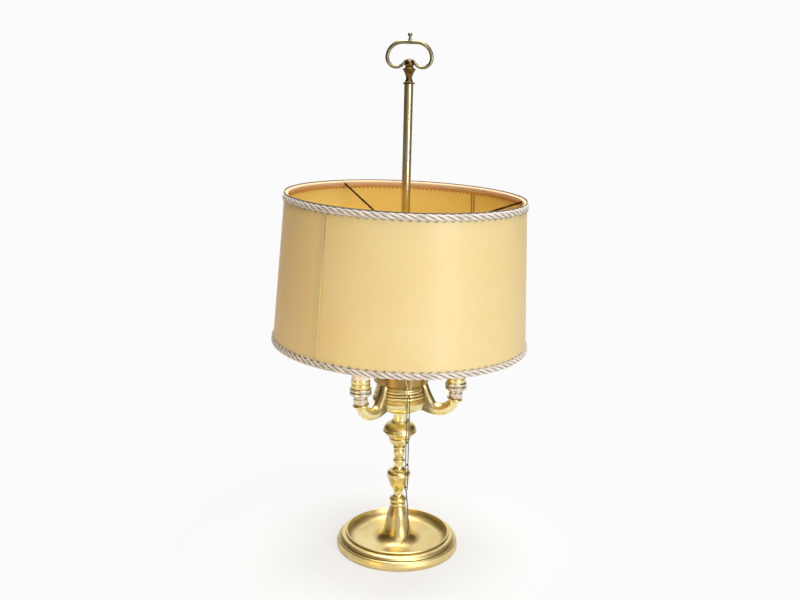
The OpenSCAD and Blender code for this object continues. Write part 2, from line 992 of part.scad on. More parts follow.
// Glass of a candle bulb
module bulb_glass(index) {
    r = bulb_d / 2;
    belly_z = glass_z + bulb_h * 0.34;
    neck = bulb_cap_r;
    tip_r = 2;
    tip_z = glass_z + bulb_h;
    color(clear_glass)
    at_holder(index)
        turned([
            [neck, glass_z, 1.6],
            [r, belly_z, 4.2],
            [tip_r, tip_z - 1.4, 0.5],
            [0, tip_z],
            [0, tip_z - glass_wall],
            [tip_r - glass_wall / 2, tip_z - 2 * glass_wall, -4.2],
            [r - glass_wall, belly_z, -1.6],
            [neck - glass_wall, glass_z]
        ]);
}

module rod() {
    color(brass)
    translate([0, 0, rod_z])
        difference() {
            cylinder(h = rod_l, r = rod_r);
            translate([0, 0, -over])
                cylinder(h = rod_l + 2 * over, r = bore_r);
        }
}

// Finial: a spigot in the rod, a flange, a vase, a collar and a ball
module finial() {
    r = finial_d / 2;
    waist_r = 3.95;
    waist_z = 8.9;
    collar_z = finial_h - 2 * finial_ball_r - 0.6;
    neck = [5.2, finial_h - finial_ball_r - sqrt(finial_ball_r * finial_ball_r - 5.2 * 5.2)];
    spigot_l = 12;
    color(brass)
    turned([
        [0, -spigot_l],
        [tie_r, -spigot_l],
        [tie_r, 0],
        [rod_r + 0.6, 0],
        [rod_r + 2.1, 0.4],
        [rod_r + 2.1, 1.4, -1.3],
        [waist_r, waist_z, -0.4],
        [r - 0.4, collar_z - 1.2, 0.3],
        [r, collar_z, 0.2],
        [r - 0.6, collar_z + 1, -0.5],
        [neck[0], neck[1], 0],
        for (angle = [asin(-sqrt(1 - pow(neck[0] / finial_ball_r, 2))) : arc_step : 80])
            [finial_ball_r * cos(angle), finial_h - finial_ball_r + finial_ball_r * sin(angle)],
        [0, finial_h]
    ], finial_z);
}

// Half of the handle's bar in the XZ plane, from the top's middle to its pointed end
function handle_half_path() = concat(
    [[0, handle_z + shoulder_r]],
    ring_arc([shoulder_r - handle_half, handle_z], shoulder_r, 90, 180, 10),
    ring_arc([lobe_r - handle_half, handle_z], lobe_r, 190, handle_tip_angle, 16)
);

// Handle: a kidney ring whose pointed ends grip the finial's ball, with a knob on top
module handle_ring() {
    half = handle_half_path();
    count = len(half);
    path = concat(
        [for (i = [count - 1 : -1 : 0]) half[i]],
        [for (i = [1 : count - 1]) [-half[i][0], half[i][1]]]
    );
    full_r = handle_bar / 2;
    slim = 0.45;
    taper = 7;
    point_r = 0.4;
    half_radii = [for (i = [0 : count - 1])
        i < count - taper
        ? full_r - slim * i / count
        : max(point_r, (full_r - slim) * (1 - pow((i - count + taper) / taper, 2.4)))];
    radii = concat(
        [for (i = [count - 1 : -1 : 0]) half_radii[i]],
        [for (i = [1 : count - 1]) half_radii[i]]
    );
    color(brass)
    union() {
        difference() {
            bar(path, radii, handle_sides);
            translate([0, 0, ball_z])
                sphere(r = finial_ball_r);
        }
        handle_knob();
    }
}

// Knob that stands on the top of the handle's ring
module handle_knob() {
    r = knob_d / 2;
    foot_z = handle_z + shoulder_r;
    foot_r = handle_bar / 2 - 0.3;
    neck_r = 1.45;
    neck_z = handle_bar / 2 + 4.2;
    ball_up = neck_z + sqrt(r * r - neck_r * neck_r);
    turned([
        [0, 0],
        [foot_r, 0],
        [foot_r + 0.8, handle_bar / 2 - 0.6, -0.5],
        [neck_r, neck_z],
        for (angle = [asin(-sqrt(1 - pow(neck_r / r, 2))) + arc_step : arc_step : 80])
            [r * cos(angle), ball_up + r * sin(angle)],
        [0, ball_up + r]
    ], foot_z);
}

// Place of the chain: X points outwards from the lamp's axis
module at_chain(z) {
    rotate([0, 0, chain_turn])
        translate([chain_r, 0, z])
            children();
}

// Eye screwed into the cup's wall, with its hole along the wall
module chain_eye() {
    color(brass)
    difference() {
        at_chain(eye_z) {
            rotate([90, 0, 0])
                torus(eye_ring_r, eye_wire_r);
            wire([-chain_r + cup_r - font_wall, 0, 0], [-eye_ring_r, 0, 0], 1.6);
        }
        turned(cup_rows(), cup_z);
    }
}

// Bail: a bar through the eye, two legs that draw together and a small ring
module chain_bail() {
    ring_z = bail_z + bail_ring_r;
    leg_end = bail_ring_r / 2;
    color(brass)
    at_chain(0) {
        wire([0, -bail_half, bar_z], [0, bail_half, bar_z], wire_r);
        for (side = [-1, 1]) {
            translate([0, side * bail_half, bar_z])
                sphere(r = wire_r + 0.1);
            wire([0, side * bail_half, bar_z], [0, side * leg_end, ring_z + 0.8 * bail_ring_r], wire_r);
        }
        translate([0, 0, ring_z])
            rotate([0, 90, 0])
                torus(bail_ring_r, wire_r);
    }
}

// Long link that hangs in the one above it
module chain_link(index) {
    top_z = bail_z + wire_d + hang_gap - (index - 1) * link_pitch;
    leg_l = link_l - 2 * link_bend_r;
    color(iron)
    at_chain(top_z - link_bend_r)
        rotate([90, 0, link_turn + 90 * index - chain_turn])
            union() {
                half_torus();
                translate([0, -leg_l, 0])
                    rotate([0, 0, 180])
                        half_torus();
                for (side = [-1, 1])
                    translate([side * link_bend_r, 0, 0])
                        rotate([90, 0, 0])
                            cylinder(h = leg_l, r = wire_r);
            }
}

// Half ring of chain wire above the X axis
module half_torus() {
    rotate_extrude(angle = 180)
        translate([link_bend_r, 0])
            circle(r = wire_r);
}

// Wick pricker: a ring in the last link and a bowed wire with a hooked, pointed end
module pricker() {
    run = pricker_top_z - tip_z;
    bow_steps = 7;
    hook_steps = 5;
    knee = 0.72;
    bow = [for (i = [0 : bow_steps])
        [pricker_bow * sin(90 * i / bow_steps), pricker_top_z - run * knee * i / bow_steps]];
    hook = [for (i = [1 : hook_steps])
        let (t = i / hook_steps)
        [pricker_bow - (pricker_bow + pricker_hook) * t * t, pricker_top_z - run * (knee + (1 - knee) * t)]];
    path = concat(bow, hook);
    radii = concat([for (p = bow) pricker_r], [for (i = [1 : hook_steps])
        pricker_r + (pricker_tip_r - pricker_r) * i / hook_steps]);
    color(iron)
    at_chain(0)
        rotate([0, 0, -chain_turn]) {
            bar(path, radii, 8);
            translate([0, 0, pricker_top_z + pricker_ring_r])
                rotate([90, 0, link_turn + 90])
                    torus(pricker_ring_r, wire_r);
        }
}

// Clamp collar: slides on the rod, carries the shade's hub on its flange and takes the thumbscrew
module shade_collar() {
    low_z = clamp_z - flange_h - clamp_h;
    color(brass)
    difference() {
        turned([
            [collar_bore_r, low_z],
            [collar_r - 0.8, low_z],
            [collar_r, low_z + 0.8],
            [collar_r, clamp_z - flange_h - 0.6],
            [flange_r - 0.6, clamp_z - flange_h, 0.2],
            [flange_r, clamp_z - flange_h + 0.6],
            [flange_r, clamp_z],
            [collar_r, clamp_z],
            [collar_r, clamp_z + spigot_h - 0.8],
            [collar_r - 0.8, clamp_z + spigot_h],
            [collar_bore_r, clamp_z + spigot_h]
        ]);
        at_screw()
            cylinder(h = screw_l, r = screw_r + fit);
    }
}

// Place of the thumbscrew: Z points outwards along its axis from the rod
module at_screw() {
    translate([0, 0, screw_z])
        rotate([0, 90, screw_turn])
            children();
}

// Thumbscrew with a two-lobed wing
module thumbscrew() {
    tip = rod_r + hang_gap;
    color(brass)
    at_screw() {
        translate([0, 0, tip])
            cylinder(h = screw_l - tip + wing_r, r = screw_r);
        translate([0, 0, screw_l + wing_r])
            rotate([90, 0, 0])
                linear_extrude(height = wing_h, center = true)
                    for (side = [-1, 1])
                        translate([side * wing_r * 0.8, wing_r * 0.4])
                            circle(r = wing_r);
    }
}

// Direction of spoke number i as a vector of length r at height z
function spoke_at(i, r, z) =
    let (angle = spoke_turn + 120 * i)
    [r * cos(angle), r * sin(angle), z];

// Place where spoke number i meets the middle of the leaning top ring's wire
function spoke_end(i) =
    let (p = spoke_at(i, top_ring_r, top_ring_z))
    [p[0] * cos(shade_lean), p[1], p[2] - p[0] * sin(shade_lean)];

// Pieces that lean with the shade about the middle of its top ring
module leaned() {
    translate([0, 0, top_ring_z])
        rotate([0, shade_lean, 0])
            translate([0, 0, -top_ring_z])
                children();
}

// Spokes before they are cut, from inside the hub's wall to the middle of the top ring
module spokes(r) {
    for (i = [0 : 2])
        wire(spoke_at(i, hub_r - frame_wire, spoke_z), spoke_end(i), r);
}

// Hub: a ring round the collar's spigot
module shade_hub() {
    color(wire_brown)
    translate([0, 0, hub_z])
        difference() {
            cylinder(h = hub_h, r = hub_r);
            translate([0, 0, -over])
                cylinder(h = hub_h + 2 * over, r = collar_r + fit);
        }
}

// Three rising spokes, cut to end on the hub's wall and on the top ring
module shade_spokes() {
    color(wire_brown)
    difference() {
        spokes(frame_r);
        translate([0, 0, hub_z - hub_h])
            cylinder(h = 3 * hub_h, r = hub_r);
        leaned()
            translate([0, 0, top_ring_z])
                torus(top_ring_r, frame_r);
    }
}

module shade_top_ring() {
    color(wire_brown)
    leaned()
        translate([0, 0, top_ring_z])
            torus(top_ring_r, frame_r);
}

module shade_bottom_ring() {
    color(wire_brown)
    leaned()
        translate([0, 0, bottom_ring_z])
            torus(bottom_ring_r, frame_r);
}

// Half of the parchment from one seam to the other, with a lap over its neighbour between the trims
module parchment_half(turn) {
    lap_angle = lap_w / shade_top_d * 360 / PI;
    lap_low = shade_bottom_z + trim_h + lap_gap;
    lap_high = shade_top_z - trim_h - lap_gap;
    color(parchment_tan)
    leaned() {
        rotate_extrude(angle = 180, start = turn)
            polygon([
                [parchment_r(shade_bottom_z) - parchment, shade_bottom_z],
                [parchment_r(shade_bottom_z), shade_bottom_z],
                [parchment_r(shade_top_z), shade_top_z],
                [parchment_r(shade_top_z) - parchment, shade_top_z]
            ]);
        rotate_extrude(angle = lap_angle, start = turn - lap_angle * 0.7)
            polygon([
                [parchment_r(lap_low), lap_low],
                [parchment_r(lap_low) + parchment, lap_low],
                [parchment_r(lap_high) + parchment, lap_high],
                [parchment_r(lap_high), lap_high]
            ]);
    }
}

module shade_panel_front() {
    parchment_half(seam_turn + 180);
}

module shade_panel_rear() {
    parchment_half(seam_turn);
}

// Braided trim as a rope band with a flat scalloped strip, up or down from the shade's edge
module trim_band(edge_z, way) {
    rope_z = edge_z + way * rope_h;
    strip_z = edge_z + way * trim_h;
    low_z = edge_z - way * trim_over;
    color(braid_grey)
    leaned()
        rotate_extrude()
            polygon(outline([
                [parchment_r(low_z) + fit, low_z],
                [parchment_r(low_z) + braid_t, low_z, way * rope_swell],
                [parchment_r(rope_z) + braid_t, rope_z],
                [parchment_r(rope_z) + braid_t - 0.2, rope_z + way * 0.4],
                [parchment_r(strip_z) + braid_t - 0.2, strip_z],
                [parchment_r(strip_z) + fit, strip_z]
            ]));
}

module top_trim() {
    trim_band(shade_top_z, -1);
}

module bottom_trim() {
    trim_band(shade_bottom_z, 1);
}

// Tape inside the top rim, over the ring and notched for the spokes
module top_binding() {
    wall_r = parchment_r(shade_top_z) - parchment - fit;
    low_z = shade_top_z - binding_h;
    low_r = parchment_r(low_z) - parchment - fit;
    swell_r = top_ring_r - frame_r - fit;
    color("mistyrose")
    difference() {
        leaned()
            rotate_extrude()
                polygon([
                    [wall_r, shade_top_z + trim_over],
                    [swell_r - binding_t, top_ring_z + frame_r],
                    [swell_r - binding_t, top_ring_z - frame_r],
                    [low_r - binding_t, low_z],
                    [low_r, low_z],
                    [swell_r, top_ring_z - frame_r],
                    [swell_r, top_ring_z + frame_r],
                    [wall_r, shade_top_z]
                ]);
        spokes(frame_r + fit);
    }
}

base();
cord_bushing();
base_washer();
base_nut();
tie_tube();
stem_collar();
stem_urn();
stem_knop();
stem_capital();
font_bowl();
font_nut();
font_cup();
font_lid();
terminal_block();
leads();
arm(0);  // arm_left
arm(1);  // arm_right
arm(2);  // arm_rear
holder_cap(0);  // holder_cap_left
holder_cap(1);  // holder_cap_right
holder_cap(2);  // holder_cap_rear
holder_rings(0);  // holder_rings_left
holder_rings(1);  // holder_rings_right
holder_rings(2);  // holder_rings_rear
holder_body(0);  // holder_body_left
holder_body(1);  // holder_body_right
holder_body(2);  // holder_body_rear
holder_insulator(0);  // holder_insulator_left
holder_insulator(1);  // holder_insulator_right
holder_insulator(2);  // holder_insulator_rear
screw_shells();
centre_contacts();
bulb_cap(0);  // bulb_cap_left
bulb_cap(1);  // bulb_cap_right
bulb_cap(2);  // bulb_cap_rear
bulb_glass(0);  // bulb_glass_left
bulb_glass(1);  // bulb_glass_right
bulb_glass(2);  // bulb_glass_rear
rod();
finial();
handle_ring();
chain_eye();
chain_bail();
chain_link(1);  // chain_link_1
chain_link(2);  // chain_link_2
chain_link(3);  // chain_link_3
chain_link(4);  // chain_link_4
pricker();
shade_collar();
thumbscrew();
shade_hub();
shade_spokes();
shade_top_ring();
shade_bottom_ring();
shade_panel_front();
shade_panel_rear();
top_trim();
bottom_trim();
top_binding();
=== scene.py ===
# %% [markdown]
# # A florentine oil lamp
# The lamp is an old brass oil lamp that became a table lamp. Its solids come from the CAD frame, and
# this lesson dresses them: brass, parchment, braid, tape, chain and lampholders.
# Every piece is in metres and in the frame's own place, so nothing is fitted by eye.

# %% Load the frame
import json
import math

import bpy
from mathutils import Matrix, Vector


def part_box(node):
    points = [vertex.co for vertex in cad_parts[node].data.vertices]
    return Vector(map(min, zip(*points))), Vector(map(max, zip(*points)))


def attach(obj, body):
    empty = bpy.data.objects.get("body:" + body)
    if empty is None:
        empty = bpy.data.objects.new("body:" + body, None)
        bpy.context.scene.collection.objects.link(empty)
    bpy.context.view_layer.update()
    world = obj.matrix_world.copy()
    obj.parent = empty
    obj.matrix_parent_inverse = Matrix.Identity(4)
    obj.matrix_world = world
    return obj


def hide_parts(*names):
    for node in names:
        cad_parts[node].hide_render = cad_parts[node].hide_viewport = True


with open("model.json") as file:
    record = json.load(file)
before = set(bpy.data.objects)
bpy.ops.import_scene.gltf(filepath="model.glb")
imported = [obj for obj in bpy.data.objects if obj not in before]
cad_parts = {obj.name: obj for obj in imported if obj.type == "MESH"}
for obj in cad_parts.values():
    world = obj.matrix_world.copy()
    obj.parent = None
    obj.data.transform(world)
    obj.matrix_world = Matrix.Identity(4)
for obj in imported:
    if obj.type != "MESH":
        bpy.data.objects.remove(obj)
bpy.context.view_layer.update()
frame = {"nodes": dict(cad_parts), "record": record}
nodes = frame["nodes"]

# %% [markdown]
# ## Camera
# The camera stands in front of the lamp, a little above the shade, and looks down at it. Its place,
# pitch, roll and focal length come from fitting the ellipses of the foot, the tray and the shade in
# the photograph, in pixels of an 800 by 600 image.

# %% Camera
def put_in_scene(name, data):
    """Make an object of this mesh, lamp or camera and put it in the scene."""
    obj = bpy.data.objects.new(name, data)
    bpy.context.scene.collection.objects.link(obj)
    return obj


image_width = 800
sensor_mm = 36.0
focal_px = 1030.0
pitch_down = 0.232224
roll = math.radians(1.45)
camera_place = Vector((-0.004409, -1.38467, 0.69296))
ahead = Vector((0, math.cos(pitch_down), -math.sin(pitch_down)))
right = Vector((1, 0, 0))
above = Vector((0, math.sin(pitch_down), math.cos(pitch_down)))
axis_x = right * math.cos(roll) + above * math.sin(roll)
axis_y = above * math.cos(roll) - right * math.sin(roll)
camera_data = bpy.data.cameras.new("photo_camera")
camera_data.sensor_fit = "HORIZONTAL"
camera_data.sensor_width = sensor_mm
camera_data.lens = sensor_mm * focal_px / image_width
camera = put_in_scene("photo_camera", camera_data)
turn = Matrix((axis_x, axis_y, -ahead)).transposed().to_4x4()
camera.matrix_world = Matrix.Translation(camera_place) @ turn
bpy.context.scene.camera = camera
print("lens %.1f mm" % camera_data.lens)

# %% [markdown]
# ## Helpers for node graphs
# A finish is a small graph of nodes, and so is a braid. One function adds a node, sets it and links
# it, so that a graph reads from top to bottom. Colours are written as sRGB hex values, as a paint
# chart gives them, and turned to the linear values that the renderer mixes with.

# %% Node and colour helpers
def linear(hex_colour):
    """Linear red, green, blue and alpha of an sRGB hex colour."""
    channels = [int(hex_colour[i:i + 2], 16) / 255 for i in (1, 3, 5)]
    return tuple(c / 12.92 if c <= 0.04045 else ((c + 0.055) / 1.055) ** 2.4 for c in channels) + (1.0,)


def fill(tree, node, inputs):
    """Set or link a node's sockets by name or number."""
    for key, value in inputs.items():
        if isinstance(value, bpy.types.NodeSocket):
            tree.links.new(value, node.inputs[key])
        else:
            node.inputs[key].default_value = value


def add(tree, kind, settings, inputs):
    """Add a node, set its properties and fill its sockets."""
    node = tree.nodes.new(kind)
    for name, value in settings.items():
        setattr(node, name, value)
    fill(tree, node, inputs)
    return node


def per(millimetres):
    """Texture scale at which one feature measures this many millimetres."""
    return 1000 / millimetres


def new_material(name):
    """A material, its tree, its shader and the socket for places on the object."""
    material = bpy.data.materials.new(name)
    material.use_nodes = True
    tree = material.node_tree
    shader = tree.nodes["Principled BSDF"]
    place = add(tree, "ShaderNodeTexCoord", {}, {}).outputs["Object"]
    return material, tree, shader, place


print("mid grey is", round(linear("#808080")[0], 3))

# %% [markdown]
# ## Brass
# The stand is cast brass, turned on a lathe, polished, and then left to age for decades. Polish
# keeps the open places yellow and bright, while grooves hold brown tarnish. Ambient occlusion finds
# the grooves, a soft cloud moves the colour and the gloss about, and fine rings remember the lathe.
# Around the foot of the bell and the roots of the arms the brown spreads: partly tarnish where no cloth
# reaches, partly painted shade.

# %% Brass graph
# Real tool marks lie closer together, and are drawn coarser here so that they show
lathe_mm = 1.2
speck_mm = 4
dent_mm = 22


def brass(name, bright, worn, tarnish, gloss, dull, cloud_mm,
          groove_mm=2, groove_gain=0.85, tarnish_shade_mm=(1, 2), tarnish_shade_gain=0.0):
    """Metal with brown grooves. Gloss and dull are its roughness where it is most and least polished."""
    material, tree, shader, place = new_material(name)
    cloud = add(tree, "ShaderNodeTexNoise", {},
                {"Vector": place, "Scale": per(cloud_mm), "Detail": 5.0, "Roughness": 0.6}).outputs[0]
    wear = add(tree, "ShaderNodeMapRange", {},
               {"Value": cloud, "From Min": 0.4, "From Max": 0.68, "To Max": 0.85}).outputs[0]
    skin = add(tree, "ShaderNodeMix", {"data_type": "RGBA"},
               {0: wear, 6: linear(bright), 7: linear(worn)}).outputs[2]
    open_sky = add(tree, "ShaderNodeAmbientOcclusion", {"samples": 8, "only_local": True},
                   {"Distance": groove_mm / 1000}).outputs["AO"]
    groove = add(tree, "ShaderNodeMapRange", {},
                 {"Value": open_sky, "From Min": 0.35, "From Max": 0.8,
                  "To Min": groove_gain, "To Max": 0.0}).outputs[0]
    level = add(tree, "ShaderNodeVectorMath", {"operation": "MULTIPLY"}, {0: place, 1: (1, 1, 0)}).outputs[0]
    off_axis = add(tree, "ShaderNodeVectorMath", {"operation": "LENGTH"}, {0: level}).outputs["Value"]
    # A ring round the axis turns brown: tarnish where no cloth reaches, and painted shade by the bell and the
    # font
    inner, outer = [mm / 1000 for mm in tarnish_shade_mm]
    tarnish_and_painted_shade = add(tree, "ShaderNodeMapRange", {"interpolation_type": "SMOOTHSTEP"},
                    {"Value": off_axis, "From Min": inner, "From Max": outer,
                     "To Min": tarnish_shade_gain, "To Max": 0.0}).outputs[0]
    patina_and_painted_shade = add(tree, "ShaderNodeMath", {"operation": "MAXIMUM"}, {0: groove, 1: tarnish_and_painted_shade}).outputs[0]
    speck = add(tree, "ShaderNodeTexNoise", {},
                {"Vector": place, "Scale": per(speck_mm), "Detail": 3.0, "Roughness": 0.7}).outputs[0]
    spots = add(tree, "ShaderNodeMapRange", {},
                {"Value": speck, "From Min": 0.7, "From Max": 0.8, "To Max": 0.3}).outputs[0]
    dirt = add(tree, "ShaderNodeMath", {"operation": "MAXIMUM"}, {0: patina_and_painted_shade, 1: spots}).outputs[0]
    colour = add(tree, "ShaderNodeMix", {"data_type": "RGBA"},
                 {0: dirt, 6: skin, 7: linear(tarnish)}).outputs[2]
    rough = add(tree, "ShaderNodeMapRange", {},
                {"Value": cloud, "From Min": 0.35, "From Max": 0.7,
                 "To Min": gloss, "To Max": dull}).outputs[0]
    # A wave texture's bands lie 2 pi / 20 of its coordinate apart
    band_scale = per(lathe_mm) * 2 * math.pi / 20
    rings = add(tree, "ShaderNodeTexWave", {"bands_direction": "Z"},
                {"Vector": place, "Scale": band_scale, "Distortion": 1.5, "Detail": 2.0}).outputs[1]
    lathe = add(tree, "ShaderNodeBump", {},
                {"Height": rings, "Strength": 0.02, "Distance": 0.0001}).outputs[0]
    dents = add(tree, "ShaderNodeTexNoise", {},
                {"Vector": place, "Scale": per(dent_mm), "Detail": 1.0}).outputs[0]
    surface = add(tree, "ShaderNodeBump", {},
                  {"Height": dents, "Normal": lathe, "Strength": 0.03, "Distance": 0.001}).outputs[0]
    fill(tree, shader, {"Base Color": colour, "Metallic": 1.0, "Roughness": rough, "Normal": surface})
    return material


print("lathe rings", lathe_mm, "mm apart")

# %% Brass finishes
# To the eye: bright yellow metal with soft reflections
polished_brass = brass("polished_cast_brass", "#EADFA6", "#D6C37E", "#4A340F",
                       gloss=0.25, dull=0.4, cloud_mm=30)
# To the eye: as bright, and deep brown between its beads
bowl_brass = brass("beaded_cast_brass", "#EFE5AE", "#DDCB88", "#3E2B0C",
                   gloss=0.25, dull=0.4, cloud_mm=30, groove_mm=5, groove_gain=0.95)
# To the eye: a broad satin shine that browns towards the bell, partly tarnish and partly painted shade
tray_brass = brass("satin_turned_brass", "#F1E1A4", "#E7CD90", "#43300E", gloss=0.3, dull=0.44, cloud_mm=34,
                   groove_gain=0.95, tarnish_shade_mm=(24, 38), tarnish_shade_gain=0.4)
# To the eye: bright at the bends, brown at the root by the font, partly tarnish and partly painted shade
spout_brass = brass("hand_polished_brass", "#F2E8B4", "#E2D090", "#54371A", gloss=0.25, dull=0.4, cloud_mm=24,
                    groove_gain=0.4, tarnish_shade_mm=(40, 56), tarnish_shade_gain=0.75)
# To the eye: brown with a dull gold sheen; a darker copy of the brass, painted shade for the cup under the
# lampshade
shade_darkened_font_brass = brass("shade_darkened_turned_brass", "#A98A50", "#7E6034", "#38250C",
                   gloss=0.28, dull=0.42, cloud_mm=20, groove_gain=0.9)
# To the eye: greyish yellow with narrow bright lines
aged_brass = brass("aged_drawn_brass", "#D8D0A8", "#BAB088", "#3B2C12", gloss=0.18, dull=0.3, cloud_mm=40)
# To the eye: grey brown, bright only along its rounds; the dark colour is partly age and partly painted shade
# for the dark reflections along its edges
darkened_ring_brass = brass("darkened_bent_brass", "#948C6E", "#6E674A", "#2C200A",
                   gloss=0.2, dull=0.32, cloud_mm=12, groove_gain=0.9)
# To the eye: dark brown with small bright rims
finial_brass = brass("unpolished_turned_brass", "#74603A", "#4C3C1E", "#241806",
                     gloss=0.2, dull=0.34, cloud_mm=10, groove_gain=0.95)
brass_finishes = (polished_brass, bowl_brass, tray_brass, spout_brass, shade_darkened_font_brass, aged_brass,
                  darkened_ring_brass, finial_brass)
print("brass:", [m.name for m in brass_finishes])

# %% [markdown]
# ## Plated and plain steel
# The lampholder caps and rings were nickel plated, which has worn to a warm silver. The chain is
# bare steel wire that has gone dull and dark. Both are metals with a broken gloss, so they share
# a graph and differ in colour, gloss and the size of their stains.

# %% Steel graph and finishes
steel_groove_mm = 3


def steel(name, bright, stain, gloss, dull, stain_mm, groove_gain):
    """Metal with cloudy stains. Gloss and dull are its roughness where it is least and most stained."""
    material, tree, shader, place = new_material(name)
    cloud = add(tree, "ShaderNodeTexNoise", {},
                {"Vector": place, "Scale": per(stain_mm), "Detail": 6.0, "Roughness": 0.65}).outputs[0]
    open_sky = add(tree, "ShaderNodeAmbientOcclusion", {"samples": 8, "only_local": True},
                   {"Distance": steel_groove_mm / 1000}).outputs["AO"]
    groove = add(tree, "ShaderNodeMapRange", {},
                 {"Value": open_sky, "From Min": 0.2, "From Max": 0.8,
                  "To Min": groove_gain, "To Max": 0.0}).outputs[0]
    patch = add(tree, "ShaderNodeMapRange", {},
                {"Value": cloud, "From Min": 0.45, "From Max": 0.7, "To Max": 0.7}).outputs[0]
    amount = add(tree, "ShaderNodeMath", {"operation": "MAXIMUM"}, {0: groove, 1: patch}).outputs[0]
    colour = add(tree, "ShaderNodeMix", {"data_type": "RGBA"},
                 {0: amount, 6: linear(bright), 7: linear(stain)}).outputs[2]
    rough = add(tree, "ShaderNodeMapRange", {},
                {"Value": cloud, "From Min": 0.3, "From Max": 0.7,
                 "To Min": gloss, "To Max": dull}).outputs[0]
    pits = add(tree, "ShaderNodeBump", {},
               {"Height": cloud, "Strength": 0.1, "Distance": 0.0003}).outputs[0]
    fill(tree, shader, {"Base Color": colour, "Metallic": 1.0, "Roughness": rough, "Normal": pits})
    return material


# To the eye: warm silver, brown in its grooves
worn_nickel = steel("worn_nickel_plate", "#DAD2C4", "#8B7A5C",
                    gloss=0.18, dull=0.36, stain_mm=6, groove_gain=0.85)
# To the eye: plain cool grey
plain_steel = steel("zinc_plated_steel", "#C4C6C8", "#8F9092",
                    gloss=0.25, dull=0.42, stain_mm=8, groove_gain=0.5)
# To the eye: dark grey wire with a faint shine
dull_steel = steel("dulled_steel_wire", "#77726C", "#3D362C",
                   gloss=0.25, dull=0.42, stain_mm=4, groove_gain=0.6)
print("steel:", worn_nickel.name, plain_steel.name, dull_steel.name)

# %% [markdown]
# ## Enamelled wire, porcelain, plastic and glass
# The shade's frame is brown enamelled wire. The lampholders are lined with glazed porcelain, and the
# bushing and the leads are dark plastic. Each gets a little unevenness, because no dipped, fired or
# moulded surface is quite flat. The bulbs are thin clear glass with the faint waves of blown ware.

# %% Coated finishes
def coated(name, colour, shade, rough, shine, grain_mm, grain_depth):
    """One plain colour with a faint mottle and a slightly uneven gloss."""
    material, tree, shader, place = new_material(name)
    grain = add(tree, "ShaderNodeTexNoise", {},
                {"Vector": place, "Scale": per(grain_mm), "Detail": 4.0}).outputs[0]
    tint = add(tree, "ShaderNodeMix", {"data_type": "RGBA"},
               {0: grain, 6: linear(colour), 7: linear(shade)}).outputs[2]
    bump = add(tree, "ShaderNodeBump", {},
               {"Height": grain, "Strength": 0.2, "Distance": grain_depth}).outputs[0]
    fill(tree, shader, {"Base Color": tint, "Roughness": rough, "Specular IOR Level": shine, "Normal": bump})
    return material


# To the eye: dark red brown with hardly a shine
brown_enamel = coated("brown_enamelled_wire", "#45190A", "#2C1006",
                      rough=0.7, shine=0.1, grain_mm=5, grain_depth=0.0002)
# To the eye: creamy white with a wet gloss
porcelain = coated("glazed_porcelain", "#F3EDE2", "#E4DBCA",
                   rough=0.18, shine=0.5, grain_mm=20, grain_depth=0.0003)
# To the eye: near black and fairly matt
dark_plastic = coated("moulded_dark_plastic", "#2B2522", "#1D1917",
                      rough=0.5, shine=0.4, grain_mm=1.5, grain_depth=0.0001)
print("coats:", brown_enamel.name, porcelain.name, dark_plastic.name)

# %% Bulb glass
# To the eye: clear, with thin bright edges and slightly bent reflections
clear_glass, tree, shader, place = new_material("blown_clear_glass")
ripple_mm = 12
wave = add(tree, "ShaderNodeTexNoise", {},
           {"Vector": place, "Scale": per(ripple_mm), "Detail": 1.0}).outputs[0]
bump = add(tree, "ShaderNodeBump", {}, {"Height": wave, "Strength": 0.05, "Distance": 0.0005}).outputs[0]
fill(tree, shader, {"Base Color": linear("#F4F6F2"), "Roughness": 0.02, "IOR": 1.5,
                    "Transmission Weight": 1.0, "Normal": bump})
print("glass:", clear_glass.name)

# %% [markdown]
# ## Parchment
# The shade is parchment paper, oiled so that light soaks through it, with a satin face. Outside it is
# cream. Inside it is painted a deeper amber, a painted glow for the light that passes through the paper
# and bounces about inside, so the finish asks which way a face looks, towards the shade's axis or away
# from it. Under both a translucent amber layer lets light through.
# Large clouds and short fibres break the colour, and the seams of the two half sheets are painted
# darker, painted shade where the doubled paper lets less light through.

# %% Parchment faces
# To the eye: warm cream with a broad soft shine outside, deep amber inside, where the amber is a painted glow
parchment, tree, shader, place = new_material("oiled_parchment")
cloud_mm = 70
fibre_mm = 6
looks = add(tree, "ShaderNodeTexCoord", {}, {}).outputs["Normal"]
level = add(tree, "ShaderNodeVectorMath", {"operation": "MULTIPLY"}, {0: place, 1: (1, 1, 0)}).outputs[0]
away = add(tree, "ShaderNodeVectorMath", {"operation": "DOT_PRODUCT"},
           {0: looks, 1: level}).outputs["Value"]
inside = add(tree, "ShaderNodeMath", {"operation": "LESS_THAN"}, {0: away, 1: 0.0}).outputs[0]
cloud = add(tree, "ShaderNodeTexNoise", {},
            {"Vector": place, "Scale": per(cloud_mm), "Detail": 4.0, "Roughness": 0.55}).outputs[0]
shift = add(tree, "ShaderNodeMapRange", {}, {"Value": cloud, "From Min": 0.3, "From Max": 0.7}).outputs[0]
cream = add(tree, "ShaderNodeMix", {"data_type": "RGBA"},
            {0: shift, 6: linear("#F2ECBA"), 7: linear("#F1E6AC")}).outputs[2]
